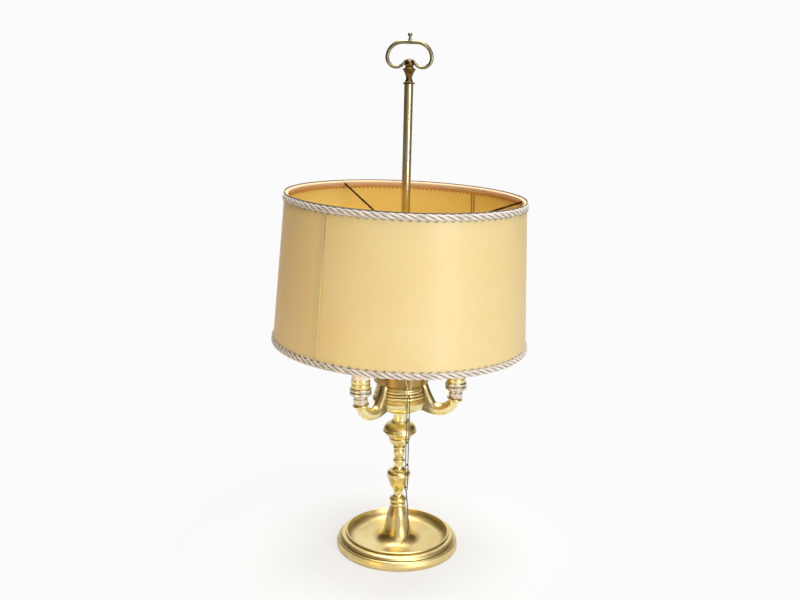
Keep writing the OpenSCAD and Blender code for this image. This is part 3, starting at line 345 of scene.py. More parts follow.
# Painted glow: the inside faces get a brighter, deeper amber for light that passes through and bounces inside
amber = add(tree, "ShaderNodeMix", {"data_type": "RGBA"},
            {0: shift, 6: linear("#FFE88C"), 7: linear("#FCDF74")}).outputs[2]
faces = add(tree, "ShaderNodeMix", {"data_type": "RGBA"}, {0: inside, 6: cream, 7: amber}).outputs[2]
fibre = add(tree, "ShaderNodeTexNoise", {},
            {"Vector": place, "Scale": per(fibre_mm), "Detail": 6.0, "Roughness": 0.75}).outputs[0]
fleck = add(tree, "ShaderNodeMapRange", {},
            {"Value": fibre, "From Min": 0.35, "From Max": 0.75, "To Max": 0.2}).outputs[0]
flecked = add(tree, "ShaderNodeMix", {"data_type": "RGBA"},
              {0: fleck, 6: faces, 7: linear("#E3BF72")}).outputs[2]
print("faces of", parchment.name)

# %% Seams and shine of the parchment
# Painted shade: a dark band at each seam, where the doubled paper lets less light through, strongest on the
# inside faces
seam_angle = math.radians(52.5)
seam_shade_starts = (0.0008, 0.0016)
seam_shade_ends = (0.0028, 0.0034)
soaked_share = 0.32
seam_normal = (-math.sin(seam_angle), math.cos(seam_angle), 0)
seam_side = add(tree, "ShaderNodeVectorMath", {"operation": "DOT_PRODUCT"},
                {0: place, 1: seam_normal}).outputs["Value"]
seam_far = add(tree, "ShaderNodeMath", {"operation": "ABSOLUTE"}, {0: seam_side}).outputs[0]
rising = add(tree, "ShaderNodeMapRange", {},
             {"Value": seam_far, "From Min": seam_shade_starts[0], "From Max": seam_shade_starts[1]}).outputs[0]
falling = add(tree, "ShaderNodeMapRange", {},
              {"Value": seam_far, "From Min": seam_shade_ends[0], "From Max": seam_shade_ends[1],
               "To Min": 1.0, "To Max": 0.0}).outputs[0]
doubled_paper_band = add(tree, "ShaderNodeMath", {"operation": "MULTIPLY"}, {0: rising, 1: falling}).outputs[0]
seam_shade_strength = add(tree, "ShaderNodeMapRange", {}, {"Value": inside, "To Min": 0.12, "To Max": 0.9}).outputs[0]
seam = add(tree, "ShaderNodeMath", {"operation": "MULTIPLY"}, {0: doubled_paper_band, 1: seam_shade_strength}).outputs[0]
face = add(tree, "ShaderNodeMix", {"data_type": "RGBA"},
           {0: seam, 6: flecked, 7: linear("#7A3C14")}).outputs[2]
paper_bump = add(tree, "ShaderNodeBump", {},
                 {"Height": fibre, "Strength": 0.1, "Distance": 0.0003}).outputs[0]
fill(tree, shader, {"Base Color": face, "Roughness": 0.42, "Specular IOR Level": 0.2,
                    "Coat Weight": 1.0, "Coat Roughness": 0.4, "Normal": paper_bump})
soak = add(tree, "ShaderNodeBsdfTranslucent", {}, {"Color": linear("#F4CC58"), "Normal": paper_bump})
blend = add(tree, "ShaderNodeMixShader", {}, {0: soaked_share, 1: shader.outputs[0], 2: soak.outputs[0]})
fill(tree, tree.nodes["Material Output"], {"Surface": blend.outputs[0]})
print("paper:", parchment.name)

# %% [markdown]
# ## Braid
# The trims are gimp: three silky silver-grey cords twisted together, with a row of small thread loops
# along one side. Patches of dust darken them here and there, and a point is painted darker the deeper
# it lies in the rope, painted shade between the cords. Each cord is itself plied, so slanting lines run
# round it. Real plies are about half a millimetre apart, and are drawn coarser here so that they show.

# %% Cord finishes
dust_mm = 9


def silky(name, crest_colour, gap_shade_colour, ply_mm):
    """Silk with a soft shine, painted shade between the cords, dust patches and faint lines."""
    material, tree, shader, place = new_material(name)
    along = add(tree, "ShaderNodeAttribute", {"attribute_name": "along"}, {}).outputs["Fac"]
    round_it = add(tree, "ShaderNodeAttribute", {"attribute_name": "round_it"}, {}).outputs["Fac"]
    crest = add(tree, "ShaderNodeAttribute", {"attribute_name": "crest"}, {}).outputs["Fac"]
    # Painted shade: the deeper a point lies between the cords, the darker it is drawn
    painted_gap_shade = add(tree, "ShaderNodeMapRange", {"interpolation_type": "SMOOTHSTEP"},
                 {"Value": crest, "From Min": 0.55, "From Max": 0.82,
                  "To Min": 0.9, "To Max": 0.0}).outputs[0]
    run = add(tree, "ShaderNodeMath", {"operation": "MULTIPLY_ADD"},
              {0: along, 1: per(ply_mm), 2: round_it}).outputs[0]
    ply = add(tree, "ShaderNodeMath", {"operation": "PINGPONG"}, {0: run, 1: 0.5}).outputs[0]
    line = add(tree, "ShaderNodeMapRange", {},
               {"Value": ply, "From Max": 0.2, "To Min": 0.35, "To Max": 0.0}).outputs[0]
    dust = add(tree, "ShaderNodeTexNoise", {},
               {"Vector": place, "Scale": per(dust_mm), "Detail": 4.0}).outputs[0]
    grime = add(tree, "ShaderNodeMapRange", {},
                {"Value": dust, "From Min": 0.42, "From Max": 0.68, "To Max": 0.4}).outputs[0]
    lined = add(tree, "ShaderNodeMath", {"operation": "MAXIMUM"}, {0: line, 1: grime}).outputs[0]
    dark = add(tree, "ShaderNodeMath", {"operation": "MAXIMUM"}, {0: lined, 1: painted_gap_shade}).outputs[0]
    colour = add(tree, "ShaderNodeMix", {"data_type": "RGBA"},
                 {0: dark, 6: linear(crest_colour), 7: linear(gap_shade_colour)}).outputs[2]
    bump = add(tree, "ShaderNodeBump", {}, {"Height": ply, "Strength": 0.4, "Distance": 0.0003}).outputs[0]
    fill(tree, shader, {"Base Color": colour, "Roughness": 0.4, "Sheen Weight": 0.2, "Normal": bump})
    return material


# To the eye: pale silver cords with dark gaps of painted shade
gimp_cord = silky("twisted_silk_gimp", "#E4DCD2", "#5E5346", ply_mm=2.4)
# To the eye: thread a little browner than the cords
loop_thread = silky("looped_silk_thread", "#BDB2A3", "#7E7465", ply_mm=1.6)
print("cords:", gimp_cord.name, loop_thread.name)

# %% [markdown]
# ## Tape
# A rose cotton tape hides the top wire inside the shade, a brown one edges it, and a grey one lies
# behind the braid. All are plain weave, so two sets of threads cross at right angles. The weave
# follows the tape's own map, which is in metres along and across it.

# %% Tape finishes
def woven(name, warp, weft, thread_mm):
    """Matt cloth with a fine square grain."""
    material, tree, shader, _ = new_material(name)
    thread = thread_mm / 1000
    cloth_map = add(tree, "ShaderNodeUVMap", {"uv_map": "tape"}, {}).outputs[0]
    axes = add(tree, "ShaderNodeSeparateXYZ", {}, {"Vector": cloth_map})
    across = add(tree, "ShaderNodeMath", {"operation": "PINGPONG"},
                 {0: axes.outputs[0], 1: thread}).outputs[0]
    down = add(tree, "ShaderNodeMath", {"operation": "PINGPONG"},
               {0: axes.outputs[1], 1: thread}).outputs[0]
    crossing = add(tree, "ShaderNodeMath", {"operation": "ADD"}, {0: across, 1: down}).outputs[0]
    lift = add(tree, "ShaderNodeMapRange", {}, {"Value": crossing, "From Max": 2 * thread}).outputs[0]
    colour = add(tree, "ShaderNodeMix", {"data_type": "RGBA"},
                 {0: lift, 6: linear(weft), 7: linear(warp)}).outputs[2]
    bump = add(tree, "ShaderNodeBump", {}, {"Height": lift, "Strength": 0.4, "Distance": 0.0003}).outputs[0]
    fill(tree, shader, {"Base Color": colour, "Roughness": 0.8, "Normal": bump})
    return material


# To the eye: faded rose cloth
rose_tape = woven("rose_cotton_tape", "#E6C3A0", "#D3A982", thread_mm=0.6)
# To the eye: a tan line below the rose
edge_tape = woven("brown_cotton_edging", "#DDA04E", "#BE8036", thread_mm=0.6)
# To the eye: a grey band behind the braid and along the rim; its dark grey is painted shade
shaded_backing_tape = woven("grey_cotton_tape_painted_shade", "#6E645B", "#4C443C", thread_mm=0.6)
print("tapes:", rose_tape.name, edge_tape.name, shaded_backing_tape.name)

# %% [markdown]
# ## Dress the solids
# A CAD node keeps its mesh, which is loose triangles. A Weld modifier joins them, and shading that is
# smooth below an angle rounds the turned faces, so that highlights run as on real brass. Each node
# then gets the finish of the metal, paper or glass that it is made of.

# %% Finishes for each node
finish_of_slot = {
    "polished_brass": polished_brass,
    "aged_brass": aged_brass,
    "plain_steel": plain_steel,
    "nickel_steel": worn_nickel,
    "chain_steel": dull_steel,
    "frame_wire": brown_enamel,
    "parchment": parchment,
    "braid": gimp_cord,
    "tape": rose_tape,
    "porcelain": porcelain,
    "bulb_glass": clear_glass,
    "dark_plastic": dark_plastic,
}
finish_of_node = {
    "base": tray_brass,
    "font_cup": shade_darkened_font_brass,
    "handle_ring": darkened_ring_brass,
    "finial": finial_brass,
    "arm_left": spout_brass,
    "arm_right": spout_brass,
    "arm_rear": spout_brass,
    "font_bowl": bowl_brass,
}
slot_of_node = {part["node"]: part["material_slot"] for part in frame["record"]["subparts"]}


def smooth_below(obj, degrees):
    """Shade an object smooth, apart from edges that bend by more than this."""
    name = "smooth_below_%d" % degrees
    tree = bpy.data.node_groups.get(name)
    if tree is None:
        tree = bpy.data.node_groups.new(name, "GeometryNodeTree")
        tree.interface.new_socket("Geometry", in_out="INPUT", socket_type="NodeSocketGeometry")
        tree.interface.new_socket("Geometry", in_out="OUTPUT", socket_type="NodeSocketGeometry")
        start = add(tree, "NodeGroupInput", {}, {})
        faces = add(tree, "GeometryNodeSetShadeSmooth", {"domain": "FACE"}, {"Geometry": start.outputs[0]})
        bend = add(tree, "GeometryNodeInputMeshEdgeAngle", {}, {}).outputs[0]
        soft = add(tree, "FunctionNodeCompare", {"operation": "LESS_THAN"},
                   {0: bend, 1: math.radians(degrees)}).outputs[0]
        edges = add(tree, "GeometryNodeSetShadeSmooth", {"domain": "EDGE"},
                    {"Geometry": faces.outputs[0], "Shade Smooth": soft})
        add(tree, "NodeGroupOutput", {}, {0: edges.outputs[0]})
    modifier = obj.modifiers.new("smooth", "NODES")
    modifier.node_group = tree


swept_nodes = ("handle_ring", "pricker", "leads", "arm_left", "arm_right", "arm_rear")
weld_gap = 0.00001
turned_bend = 30
swept_bend = 50
for name, obj in nodes.items():
    obj.data.materials.clear()
    obj.data.materials.append(finish_of_node.get(name, finish_of_slot[slot_of_node[name]]))
    weld = obj.modifiers.new("weld", "WELD")
    weld.merge_threshold = weld_gap
    smooth_below(obj, swept_bend if name in swept_nodes else turned_bend)
print("dressed", len(nodes), "solids")

# %% [markdown]
# ## The shade's own axis
# The shade leans a little on its old frame, so the braid needs the shade's own axis. It runs through
# the middles of the two wire rings, which also give the cone of the paper. Heights below are measured
# along that axis from the top ring, and each finished piece is set on the axis at the end.

# %% Measure the shade
def ring_of(node):
    """Middle and outer radius of a wire ring."""
    low, high = [Vector(corner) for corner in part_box(node)]
    return (low + high) / 2, (high.y - low.y) / 2


top_middle, top_wire_r = ring_of("shade_top_ring")
low_middle, low_wire_r = ring_of("shade_bottom_ring")
paper_thick = 0.0008
edge_past_ring = 0.0022
shade_axis = (top_middle - low_middle).normalized()
ring_apart = (top_middle - low_middle).length
slope = (low_wire_r - top_wire_r) / ring_apart
on_axis = Vector((0, 0, 1)).rotation_difference(shade_axis).to_matrix().to_4x4()
set_on_axis = Matrix.Translation(top_middle) @ on_axis
top_edge = edge_past_ring
low_edge = -ring_apart - edge_past_ring


def paper_r(height):
    """Outer radius of the paper at this height."""
    return top_wire_r + paper_thick - height * slope


print("shade %.1f mm high, leaning %.2f degrees" % (
    1000 * (top_edge - low_edge), math.degrees(shade_axis.angle(Vector((0, 0, 1))))))
print("paper radii %.1f and %.1f mm" % (1000 * paper_r(low_edge), 1000 * paper_r(top_edge)))

# %% [markdown]
# ## Trees for what goes round the shade
# A Geometry Nodes tree is a recipe with named inputs. Each one is built here, run on an empty object,
# and its result kept as a plain mesh that moves with the shade.

# %% Tree helpers
def new_tree(name, inputs):
    """A tree, the identifiers of its named inputs, and the sockets that bring them in."""
    tree = bpy.data.node_groups.new(name, "GeometryNodeTree")
    sockets = {}
    for label, kind in inputs:
        socket = tree.interface.new_socket(label, in_out="INPUT", socket_type="NodeSocket" + kind)
        sockets[label] = socket.identifier
    tree.interface.new_socket("Geometry", in_out="OUTPUT", socket_type="NodeSocketGeometry")
    return tree, sockets, add(tree, "NodeGroupInput", {}, {}).outputs


def grow(name, tree, sockets, values):
    """Run a tree with these values, keep its result as a plain mesh and set it on the shade's axis."""
    seed = put_in_scene(name + "_seed", bpy.data.meshes.new(name + "_seed"))
    modifier = seed.modifiers.new("tree", "NODES")
    modifier.node_group = tree
    for label, value in values.items():
        modifier[sockets[label]] = value
    graph = bpy.context.evaluated_depsgraph_get()
    mesh = bpy.data.meshes.new_from_object(seed.evaluated_get(graph), preserve_all_data_layers=True,
                                           depsgraph=graph)
    bpy.data.objects.remove(seed)
    mesh.name = name
    mesh.transform(set_on_axis)
    mesh.shade_smooth()
    piece = put_in_scene(name, mesh)
    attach(piece, "shade")
    return piece


def close_tree(tree, geometry, material):
    """End a tree with one real mesh of one material."""
    real = add(tree, "GeometryNodeRealizeInstances", {}, {"Geometry": geometry})
    painted = add(tree, "GeometryNodeSetMaterial", {}, {"Geometry": real.outputs[0], "Material": material})
    add(tree, "NodeGroupOutput", {}, {0: painted.outputs[0]})
    print("tree:", tree.name, len(tree.nodes), "nodes")


# %% [markdown]
# ## Twisted cords
# Real gimp is three cords wound round each other and pressed flat against the paper. A circle is
# copied once per cord, and each copy is pushed up, out, down and in as it runs, a third of a turn
# behind its neighbour. A round profile turns the curves to cords. Then the rope is pressed flat, and
# each point keeps how far it lay from the rope's middle, which the finish uses for painted shade.

# %% Helpers for rings and cords
def spot_outward(tree, outward, radius, height):
    """The place this far outward from the axis, at this height."""
    flat_spot = add(tree, "ShaderNodeVectorMath", {"operation": "SCALE"},
                    {0: outward, "Scale": radius}).outputs[0]
    lifted = add(tree, "ShaderNodeCombineXYZ", {}, {2: height}).outputs[0]
    return add(tree, "ShaderNodeVectorMath", {"operation": "ADD"}, {0: flat_spot, 1: lifted}).outputs[0]


def spot_on_ring(tree, angle, radius, height):
    """The place at this angle and radius round the axis, at this height."""
    east = add(tree, "ShaderNodeMath", {"operation": "COSINE"}, {0: angle}).outputs[0]
    north = add(tree, "ShaderNodeMath", {"operation": "SINE"}, {0: angle}).outputs[0]
    heading = add(tree, "ShaderNodeCombineXYZ", {}, {0: east, 1: north}).outputs[0]
    return spot_outward(tree, heading, radius, height)


def round_cord(tree, curve, sides, radius):
    """Thicken a curve, and keep how far along and round the cord each point lies."""
    length = add(tree, "GeometryNodeSplineParameter", {}, {}).outputs["Length"]
    measured = add(tree, "GeometryNodeStoreNamedAttribute", {"data_type": "FLOAT", "domain": "POINT"},
                   {"Geometry": curve, "Name": "along", "Value": length})
    section = add(tree, "GeometryNodeCurvePrimitiveCircle", {}, {"Resolution": sides, "Radius": radius})
    part_round = add(tree, "GeometryNodeSplineParameter", {}, {}).outputs["Factor"]
    rounded = add(tree, "GeometryNodeStoreNamedAttribute", {"data_type": "FLOAT", "domain": "POINT"},
                  {"Geometry": section.outputs[0], "Name": "round_it", "Value": part_round})
    cord = add(tree, "GeometryNodeCurveToMesh", {},
               {"Curve": measured.outputs[0], "Profile Curve": rounded.outputs[0]})
    return cord.outputs[0]


# %% Wind the cords
twist, twist_in, start = new_tree("twisted_cords", [
    ("Radius", "Float"), ("Slope", "Float"), ("Height", "Float"), ("Turns", "Float"), ("Cords", "Int"),
    ("Swing", "Float"), ("Cord Radius", "Float"), ("Flatness", "Float"), ("Points", "Int"),
    ("Sides", "Int"), ("Material", "Material")])
circle = add(twist, "GeometryNodeCurvePrimitiveCircle", {},
             {"Resolution": start["Points"], "Radius": start["Radius"]})
copies = add(twist, "GeometryNodeDuplicateElements", {"domain": "SPLINE"},
             {"Geometry": circle.outputs[0], "Amount": start["Cords"]})
share = add(twist, "GeometryNodeSplineParameter", {}, {}).outputs["Factor"]
behind = add(twist, "ShaderNodeMath", {"operation": "DIVIDE"},
             {0: copies.outputs["Duplicate Index"], 1: start["Cords"]}).outputs[0]
wound = add(twist, "ShaderNodeMath", {"operation": "MULTIPLY_ADD"},
            {0: share, 1: start["Turns"], 2: behind}).outputs[0]
wind = add(twist, "ShaderNodeMath", {"operation": "MULTIPLY"}, {0: wound, 1: 2 * math.pi}).outputs[0]
cos_wind = add(twist, "ShaderNodeMath", {"operation": "COSINE"}, {0: wind}).outputs[0]
sin_wind = add(twist, "ShaderNodeMath", {"operation": "SINE"}, {0: wind}).outputs[0]
level = add(twist, "ShaderNodeMath", {"operation": "MULTIPLY_ADD"},
            {0: cos_wind, 1: start["Swing"], 2: start["Height"]}).outputs[0]
ring_r = add(twist, "ShaderNodeMath", {"operation": "MULTIPLY_ADD"},
             {0: sin_wind, 1: start["Swing"], 2: start["Radius"]}).outputs[0]
ring_angle = add(twist, "ShaderNodeMath", {"operation": "MULTIPLY"}, {0: share, 1: 2 * math.pi}).outputs[0]
spot = spot_on_ring(twist, ring_angle, ring_r, level)
placed = add(twist, "GeometryNodeSetPosition", {}, {"Geometry": copies.outputs[0], "Position": spot})
rope = round_cord(twist, placed.outputs[0], start["Sides"], start["Cord Radius"])
print("cords:", len(twist.nodes), "nodes so far")

# %% Press the rope flat
where = add(twist, "GeometryNodeInputPosition", {}, {}).outputs[0]
axes = add(twist, "ShaderNodeSeparateXYZ", {}, {"Vector": where})
level_part = add(twist, "ShaderNodeCombineXYZ", {}, {0: axes.outputs[0], 1: axes.outputs[1]}).outputs[0]
out_r = add(twist, "ShaderNodeVectorMath", {"operation": "LENGTH"}, {0: level_part}).outputs["Value"]
off_axis = add(twist, "ShaderNodeMath", {"operation": "SUBTRACT"},
               {0: out_r, 1: start["Radius"]}).outputs[0]
over_middle = add(twist, "ShaderNodeMath", {"operation": "SUBTRACT"},
                  {0: axes.outputs[2], 1: start["Height"]}).outputs[0]
offset = add(twist, "ShaderNodeCombineXYZ", {}, {0: off_axis, 1: over_middle}).outputs[0]
depth = add(twist, "ShaderNodeVectorMath", {"operation": "LENGTH"}, {0: offset}).outputs["Value"]
rope_r = add(twist, "ShaderNodeMath", {"operation": "ADD"},
             {0: start["Swing"], 1: start["Cord Radius"]}).outputs[0]
crest = add(twist, "ShaderNodeMath", {"operation": "DIVIDE"}, {0: depth, 1: rope_r}).outputs[0]
crested = add(twist, "GeometryNodeStoreNamedAttribute", {"data_type": "FLOAT", "domain": "POINT"},
              {"Geometry": rope, "Name": "crest", "Value": crest})
pressed = add(twist, "ShaderNodeMath", {"operation": "MULTIPLY_ADD"},
              {0: off_axis, 1: start["Flatness"], 2: start["Radius"]}).outputs[0]
lean = add(twist, "ShaderNodeMath", {"operation": "MULTIPLY"},
           {0: over_middle, 1: start["Slope"]}).outputs[0]
leaned = add(twist, "ShaderNodeMath", {"operation": "SUBTRACT"}, {0: pressed, 1: lean}).outputs[0]
outward = add(twist, "ShaderNodeVectorMath", {"operation": "NORMALIZE"}, {0: level_part}).outputs[0]
flat_place = spot_outward(twist, outward, leaned, axes.outputs[2])
flat = add(twist, "GeometryNodeSetPosition", {}, {"Geometry": crested.outputs[0], "Position": flat_place})
close_tree(twist, flat.outputs[0], start["Material"])

# %% [markdown]
# ## Cords on both edges
# The rope is about 8 mm high and lies along the shade's edges. One full turn takes 34 mm, so that
# three cords show a slanting gap every 11 mm, as on the lamp.

# %% Lay the cords
rope_half = 0.0041
cord_r = 0.0018
rope_flatness = 0.32
rope_over = 0.0006
turn_mm = 34
points_per_turn = 24


def wind_edge(name, edge, way):
    """Lay a rope along an edge. Way is 1 where it lies above the edge and -1 where below."""
    middle = edge + way * (rope_half - rope_over)
    radius = paper_r(middle) + rope_half * rope_flatness
    turns = round(2 * math.pi * radius * 1000 / turn_mm)
    piece = grow(name, twist, twist_in, {
        "Radius": radius, "Slope": slope, "Height": middle, "Turns": float(turns), "Cords": 3,
        "Swing": rope_half - cord_r, "Cord Radius": cord_r, "Flatness": rope_flatness,
        "Points": turns * points_per_turn, "Sides": 12, "Material": gimp_cord})
    print(name, turns, "turns,", len(piece.data.polygons), "faces")
    return piece


bottom_gimp = wind_edge("bottom_gimp", low_edge, 1)
top_gimp = wind_edge("top_gimp", top_edge, -1)
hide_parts("bottom_trim")
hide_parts("top_trim")

# %% [markdown]
# ## Bands and scallops
# A flat tape lies behind the cords and stands a little above the rim, and a rose tape covers the top
# wire inside, with a brown scalloped edging below it. These are all bands round the shade. One tree
# lays a grid round the axis, swells it over the wire where asked, and lets one side down in scallops.

# %% Band tree
band, band_in, start = new_tree("shade_band", [
    ("Low Radius", "Float"), ("High Radius", "Float"), ("Low", "Float"), ("High", "Float"),
    ("Bulge", "Float"), ("Scallops", "Float"), ("Scallop Height", "Float"), ("Columns", "Int"),
    ("Rows", "Int"), ("Material", "Material")])
sheet = add(band, "GeometryNodeMeshGrid", {},
            {"Size X": 1.0, "Size Y": 1.0, "Vertices X": start["Columns"], "Vertices Y": start["Rows"]})
where = add(band, "GeometryNodeInputPosition", {}, {}).outputs[0]
axes = add(band, "ShaderNodeSeparateXYZ", {}, {"Vector": where})
angle = add(band, "ShaderNodeMath", {"operation": "MULTIPLY"},
            {0: axes.outputs[0], 1: 2 * math.pi}).outputs[0]
up_share = add(band, "ShaderNodeMath", {"operation": "ADD"}, {0: axes.outputs[1], 1: 0.5}).outputs[0]
half_angle = add(band, "ShaderNodeMath", {"operation": "MULTIPLY"}, {0: angle, 1: 0.5}).outputs[0]
wave_angle = add(band, "ShaderNodeMath", {"operation": "MULTIPLY"},
                 {0: half_angle, 1: start["Scallops"]}).outputs[0]
wave = add(band, "ShaderNodeMath", {"operation": "SINE"}, {0: wave_angle}).outputs[0]
arches = add(band, "ShaderNodeMath", {"operation": "ABSOLUTE"}, {0: wave}).outputs[0]
free_side = add(band, "ShaderNodeMath", {"operation": "SUBTRACT"}, {0: 1.0, 1: up_share}).outputs[0]
arch_height = add(band, "ShaderNodeMath", {"operation": "MULTIPLY"},
                  {0: arches, 1: start["Scallop Height"]}).outputs[0]
drop = add(band, "ShaderNodeMath", {"operation": "MULTIPLY"}, {0: arch_height, 1: free_side}).outputs[0]
level = add(band, "ShaderNodeMapRange", {},
            {"Value": up_share, "To Min": start["Low"], "To Max": start["High"]}).outputs[0]
scalloped = add(band, "ShaderNodeMath", {"operation": "SUBTRACT"}, {0: level, 1: drop}).outputs[0]
# The tape swells slowly from its lower side and turns in quickly at its upper side
swell_up = add(band, "ShaderNodeMapRange", {"interpolation_type": "SMOOTHSTEP"},
               {"Value": up_share, "From Min": 0.05, "From Max": 0.5}).outputs[0]
swell_down = add(band, "ShaderNodeMapRange", {"interpolation_type": "SMOOTHSTEP"},
                 {"Value": up_share, "From Min": 0.84, "From Max": 1.0,
                  "To Min": 1.0, "To Max": 0.0}).outputs[0]
swell = add(band, "ShaderNodeMath", {"operation": "MULTIPLY"}, {0: swell_up, 1: swell_down}).outputs[0]
bulge = add(band, "ShaderNodeMath", {"operation": "MULTIPLY"}, {0: swell, 1: start["Bulge"]}).outputs[0]
cone_r = add(band, "ShaderNodeMapRange", {},
             {"Value": up_share, "To Min": start["Low Radius"], "To Max": start["High Radius"]}).outputs[0]
radius = add(band, "ShaderNodeMath", {"operation": "SUBTRACT"}, {0: cone_r, 1: bulge}).outputs[0]
spot = spot_on_ring(band, angle, radius, scalloped)
length = add(band, "ShaderNodeMath", {"operation": "MULTIPLY"}, {0: angle, 1: cone_r}).outputs[0]
cloth_map = add(band, "ShaderNodeCombineXYZ", {}, {0: length, 1: level}).outputs[0]
mapped = add(band, "GeometryNodeStoreNamedAttribute", {"data_type": "FLOAT2", "domain": "CORNER"},
             {"Geometry": sheet.outputs[0], "Name": "tape", "Value": cloth_map})
laid = add(band, "GeometryNodeSetPosition", {}, {"Geometry": mapped.outputs[0], "Position": spot})
seam_gap = 0.000005
joined = add(band, "GeometryNodeMergeByDistance", {}, {"Geometry": laid.outputs[0], "Distance": seam_gap})
close_tree(band, joined.outputs[0], start["Material"])

# %% Lay the tapes
tape_thick = 0.0004
columns_per_scallop = 8


def lay_band(name, low, high, off_paper, scallops, material, bulge=0.0, scallop_height=0.0, rows=4):
    """Lay a tape between two heights, this far off the paper's outer face."""
    piece = grow(name, band, band_in, {
        "Low Radius": paper_r(low) + off_paper, "High Radius": paper_r(high) + off_paper,
        "Low": low, "High": high, "Bulge": bulge, "Scallops": float(scallops),
        "Scallop Height": scallop_height, "Columns": scallops * columns_per_scallop + 1,
        "Rows": rows, "Material": material})
    thick = piece.modifiers.new("thickness", "SOLIDIFY")
    thick.thickness = tape_thick
    thick.offset = 0.0
    print(name, len(piece.data.polygons), "faces")
    return piece


rope_h = 2 * rope_half
loop_mm = 11.3
outer_loops = round(2 * math.pi * paper_r(low_edge) * 1000 / loop_mm)
rim_over = 0.002
# The backing bands are drawn dark grey as painted shade behind the cords and along the rim
lay_band("bottom_backing", low_edge - rope_over, low_edge + rope_h - rope_over, tape_thick,
         outer_loops, shaded_backing_tape)
lay_band("top_backing", top_edge - rope_h + rope_over, top_edge + rim_over, tape_thick,
         outer_loops, shaded_backing_tape)

wire_cover = 0.0032
binding_h = 0.0066
edging_h = 0.003
inner_scallop_mm = 6.5
inner_scallops = round(2 * math.pi * paper_r(top_edge) * 1000 / inner_scallop_mm)
edging_middle = top_edge - binding_h
rose_binding = lay_band("rose_binding", edging_middle, top_edge + rope_over, -paper_thick - tape_thick,
                        inner_scallops, rose_tape, bulge=wire_cover, rows=12)
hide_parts("top_binding")
lay_band("brown_edging", edging_middle - edging_h / 2, edging_middle + edging_h / 2,
         -paper_thick - tape_thick / 2, inner_scallops, edge_tape, scallop_height=edging_h)

# %% [markdown]
# ## Thread loops
# Along the paper side of each braid a thread comes out in small loops, one for each cord that passes.
# The tree runs one thread round the shade and lifts it wherever a wave is above zero, so that loops and
# flat runs take turns.

# %% Loop tree
loops, loops_in, start = new_tree("thread_loops", [
    ("Radius", "Float"), ("Height", "Float"), ("Rise", "Float"), ("Loops", "Float"), ("Points", "Int"),
    ("Sides", "Int"), ("Thread Radius", "Float"), ("Material", "Material")])
circle = add(loops, "GeometryNodeCurvePrimitiveCircle", {},
             {"Resolution": start["Points"], "Radius": start["Radius"]})
share = add(loops, "GeometryNodeSplineParameter", {}, {}).outputs["Factor"]
loop_share = add(loops, "ShaderNodeMath", {"operation": "MULTIPLY"},
                 {0: share, 1: start["Loops"]}).outputs[0]
loop_angle = add(loops, "ShaderNodeMath", {"operation": "MULTIPLY"},
                 {0: loop_share, 1: 2 * math.pi}).outputs[0]
wave = add(loops, "ShaderNodeMath", {"operation": "SINE"}, {0: loop_angle}).outputs[0]
arch = add(loops, "ShaderNodeMath", {"operation": "MAXIMUM"}, {0: wave, 1: 0.0}).outputs[0]
level = add(loops, "ShaderNodeMath", {"operation": "MULTIPLY_ADD"},
            {0: arch, 1: start["Rise"], 2: start["Height"]}).outputs[0]
lifted = add(loops, "ShaderNodeCombineXYZ", {}, {2: level}).outputs[0]
placed = add(loops, "GeometryNodeSetPosition", {}, {"Geometry": circle.outputs[0], "Offset": lifted})
thread = round_cord(loops, placed.outputs[0], start["Sides"], start["Thread Radius"])
crested = add(loops, "GeometryNodeStoreNamedAttribute", {"data_type": "FLOAT", "domain": "POINT"},
              {"Geometry": thread, "Name": "crest", "Value": 1.0})
close_tree(loops, crested.outputs[0], start["Material"])

# %% Loops along both braids
loop_rise = 0.0024
thread_r = 0.0007
points_per_loop = 14


def loop_edge(name, edge, way):
    """Lay loops along the side of the braid that lies away from the edge."""
    foot = edge + way * (rope_h - 2 * rope_over)
    piece = grow(name, loops, loops_in, {
        "Radius": paper_r(foot + way * loop_rise) + thread_r, "Height": foot, "Rise": way * loop_rise,
        "Loops": float(outer_loops), "Points": outer_loops * points_per_loop, "Sides": 6,
        "Thread Radius": thread_r, "Material": loop_thread})
    print(name, outer_loops, "loops,", len(piece.data.polygons), "faces")
    return piece


loop_edge("bottom_loops", low_edge, 1)
loop_edge("top_loops", top_edge, -1)

# %% [markdown]
# ## Floor
# The lamp stands on a plain white floor that runs into a white backdrop. The floor keeps the soft
# shadow near the foot and turns to plain white further out. The camera sees that white, and so do
# metal and glass where they mirror the sheet behind the lamp. To the sides they mirror a dim room.

# %% Where the white sheet shows
sheet_white = linear("#FBFBFB")
sheet_edges = (0.75, 0.92)


def behind_lamp(tree, direction):
    """1 where a direction from the lamp meets the sheet behind it, 0 to its sides and in front."""
    level = add(tree, "ShaderNodeVectorMath", {"operation": "MULTIPLY"},
                {0: direction, 1: (1, 1, 0)}).outputs[0]
    compass = add(tree, "ShaderNodeVectorMath", {"operation": "NORMALIZE"}, {0: level}).outputs[0]
    depth = add(tree, "ShaderNodeSeparateXYZ", {}, {"Vector": compass}).outputs[1]
    return add(tree, "ShaderNodeMapRange", {"interpolation_type": "SMOOTHSTEP"},
               {"Value": depth, "From Min": sheet_edges[0], "From Max": sheet_edges[1]}).outputs[0]


def shows_white(tree, behind):
    """1 for what the camera sees itself, and for what metal and glass show of the sheet."""
    rays = add(tree, "ShaderNodeLightPath", {}, {}).outputs
    mirrored = add(tree, "ShaderNodeMath", {"operation": "MAXIMUM"},
                   {0: rays["Is Glossy Ray"], 1: rays["Is Transmission Ray"]}).outputs[0]
    in_mirror = add(tree, "ShaderNodeMath", {"operation": "MULTIPLY"}, {0: mirrored, 1: behind}).outputs[0]
    return add(tree, "ShaderNodeMath", {"operation": "MAXIMUM"},
               {0: rays["Is Camera Ray"], 1: in_mirror}).outputs[0]


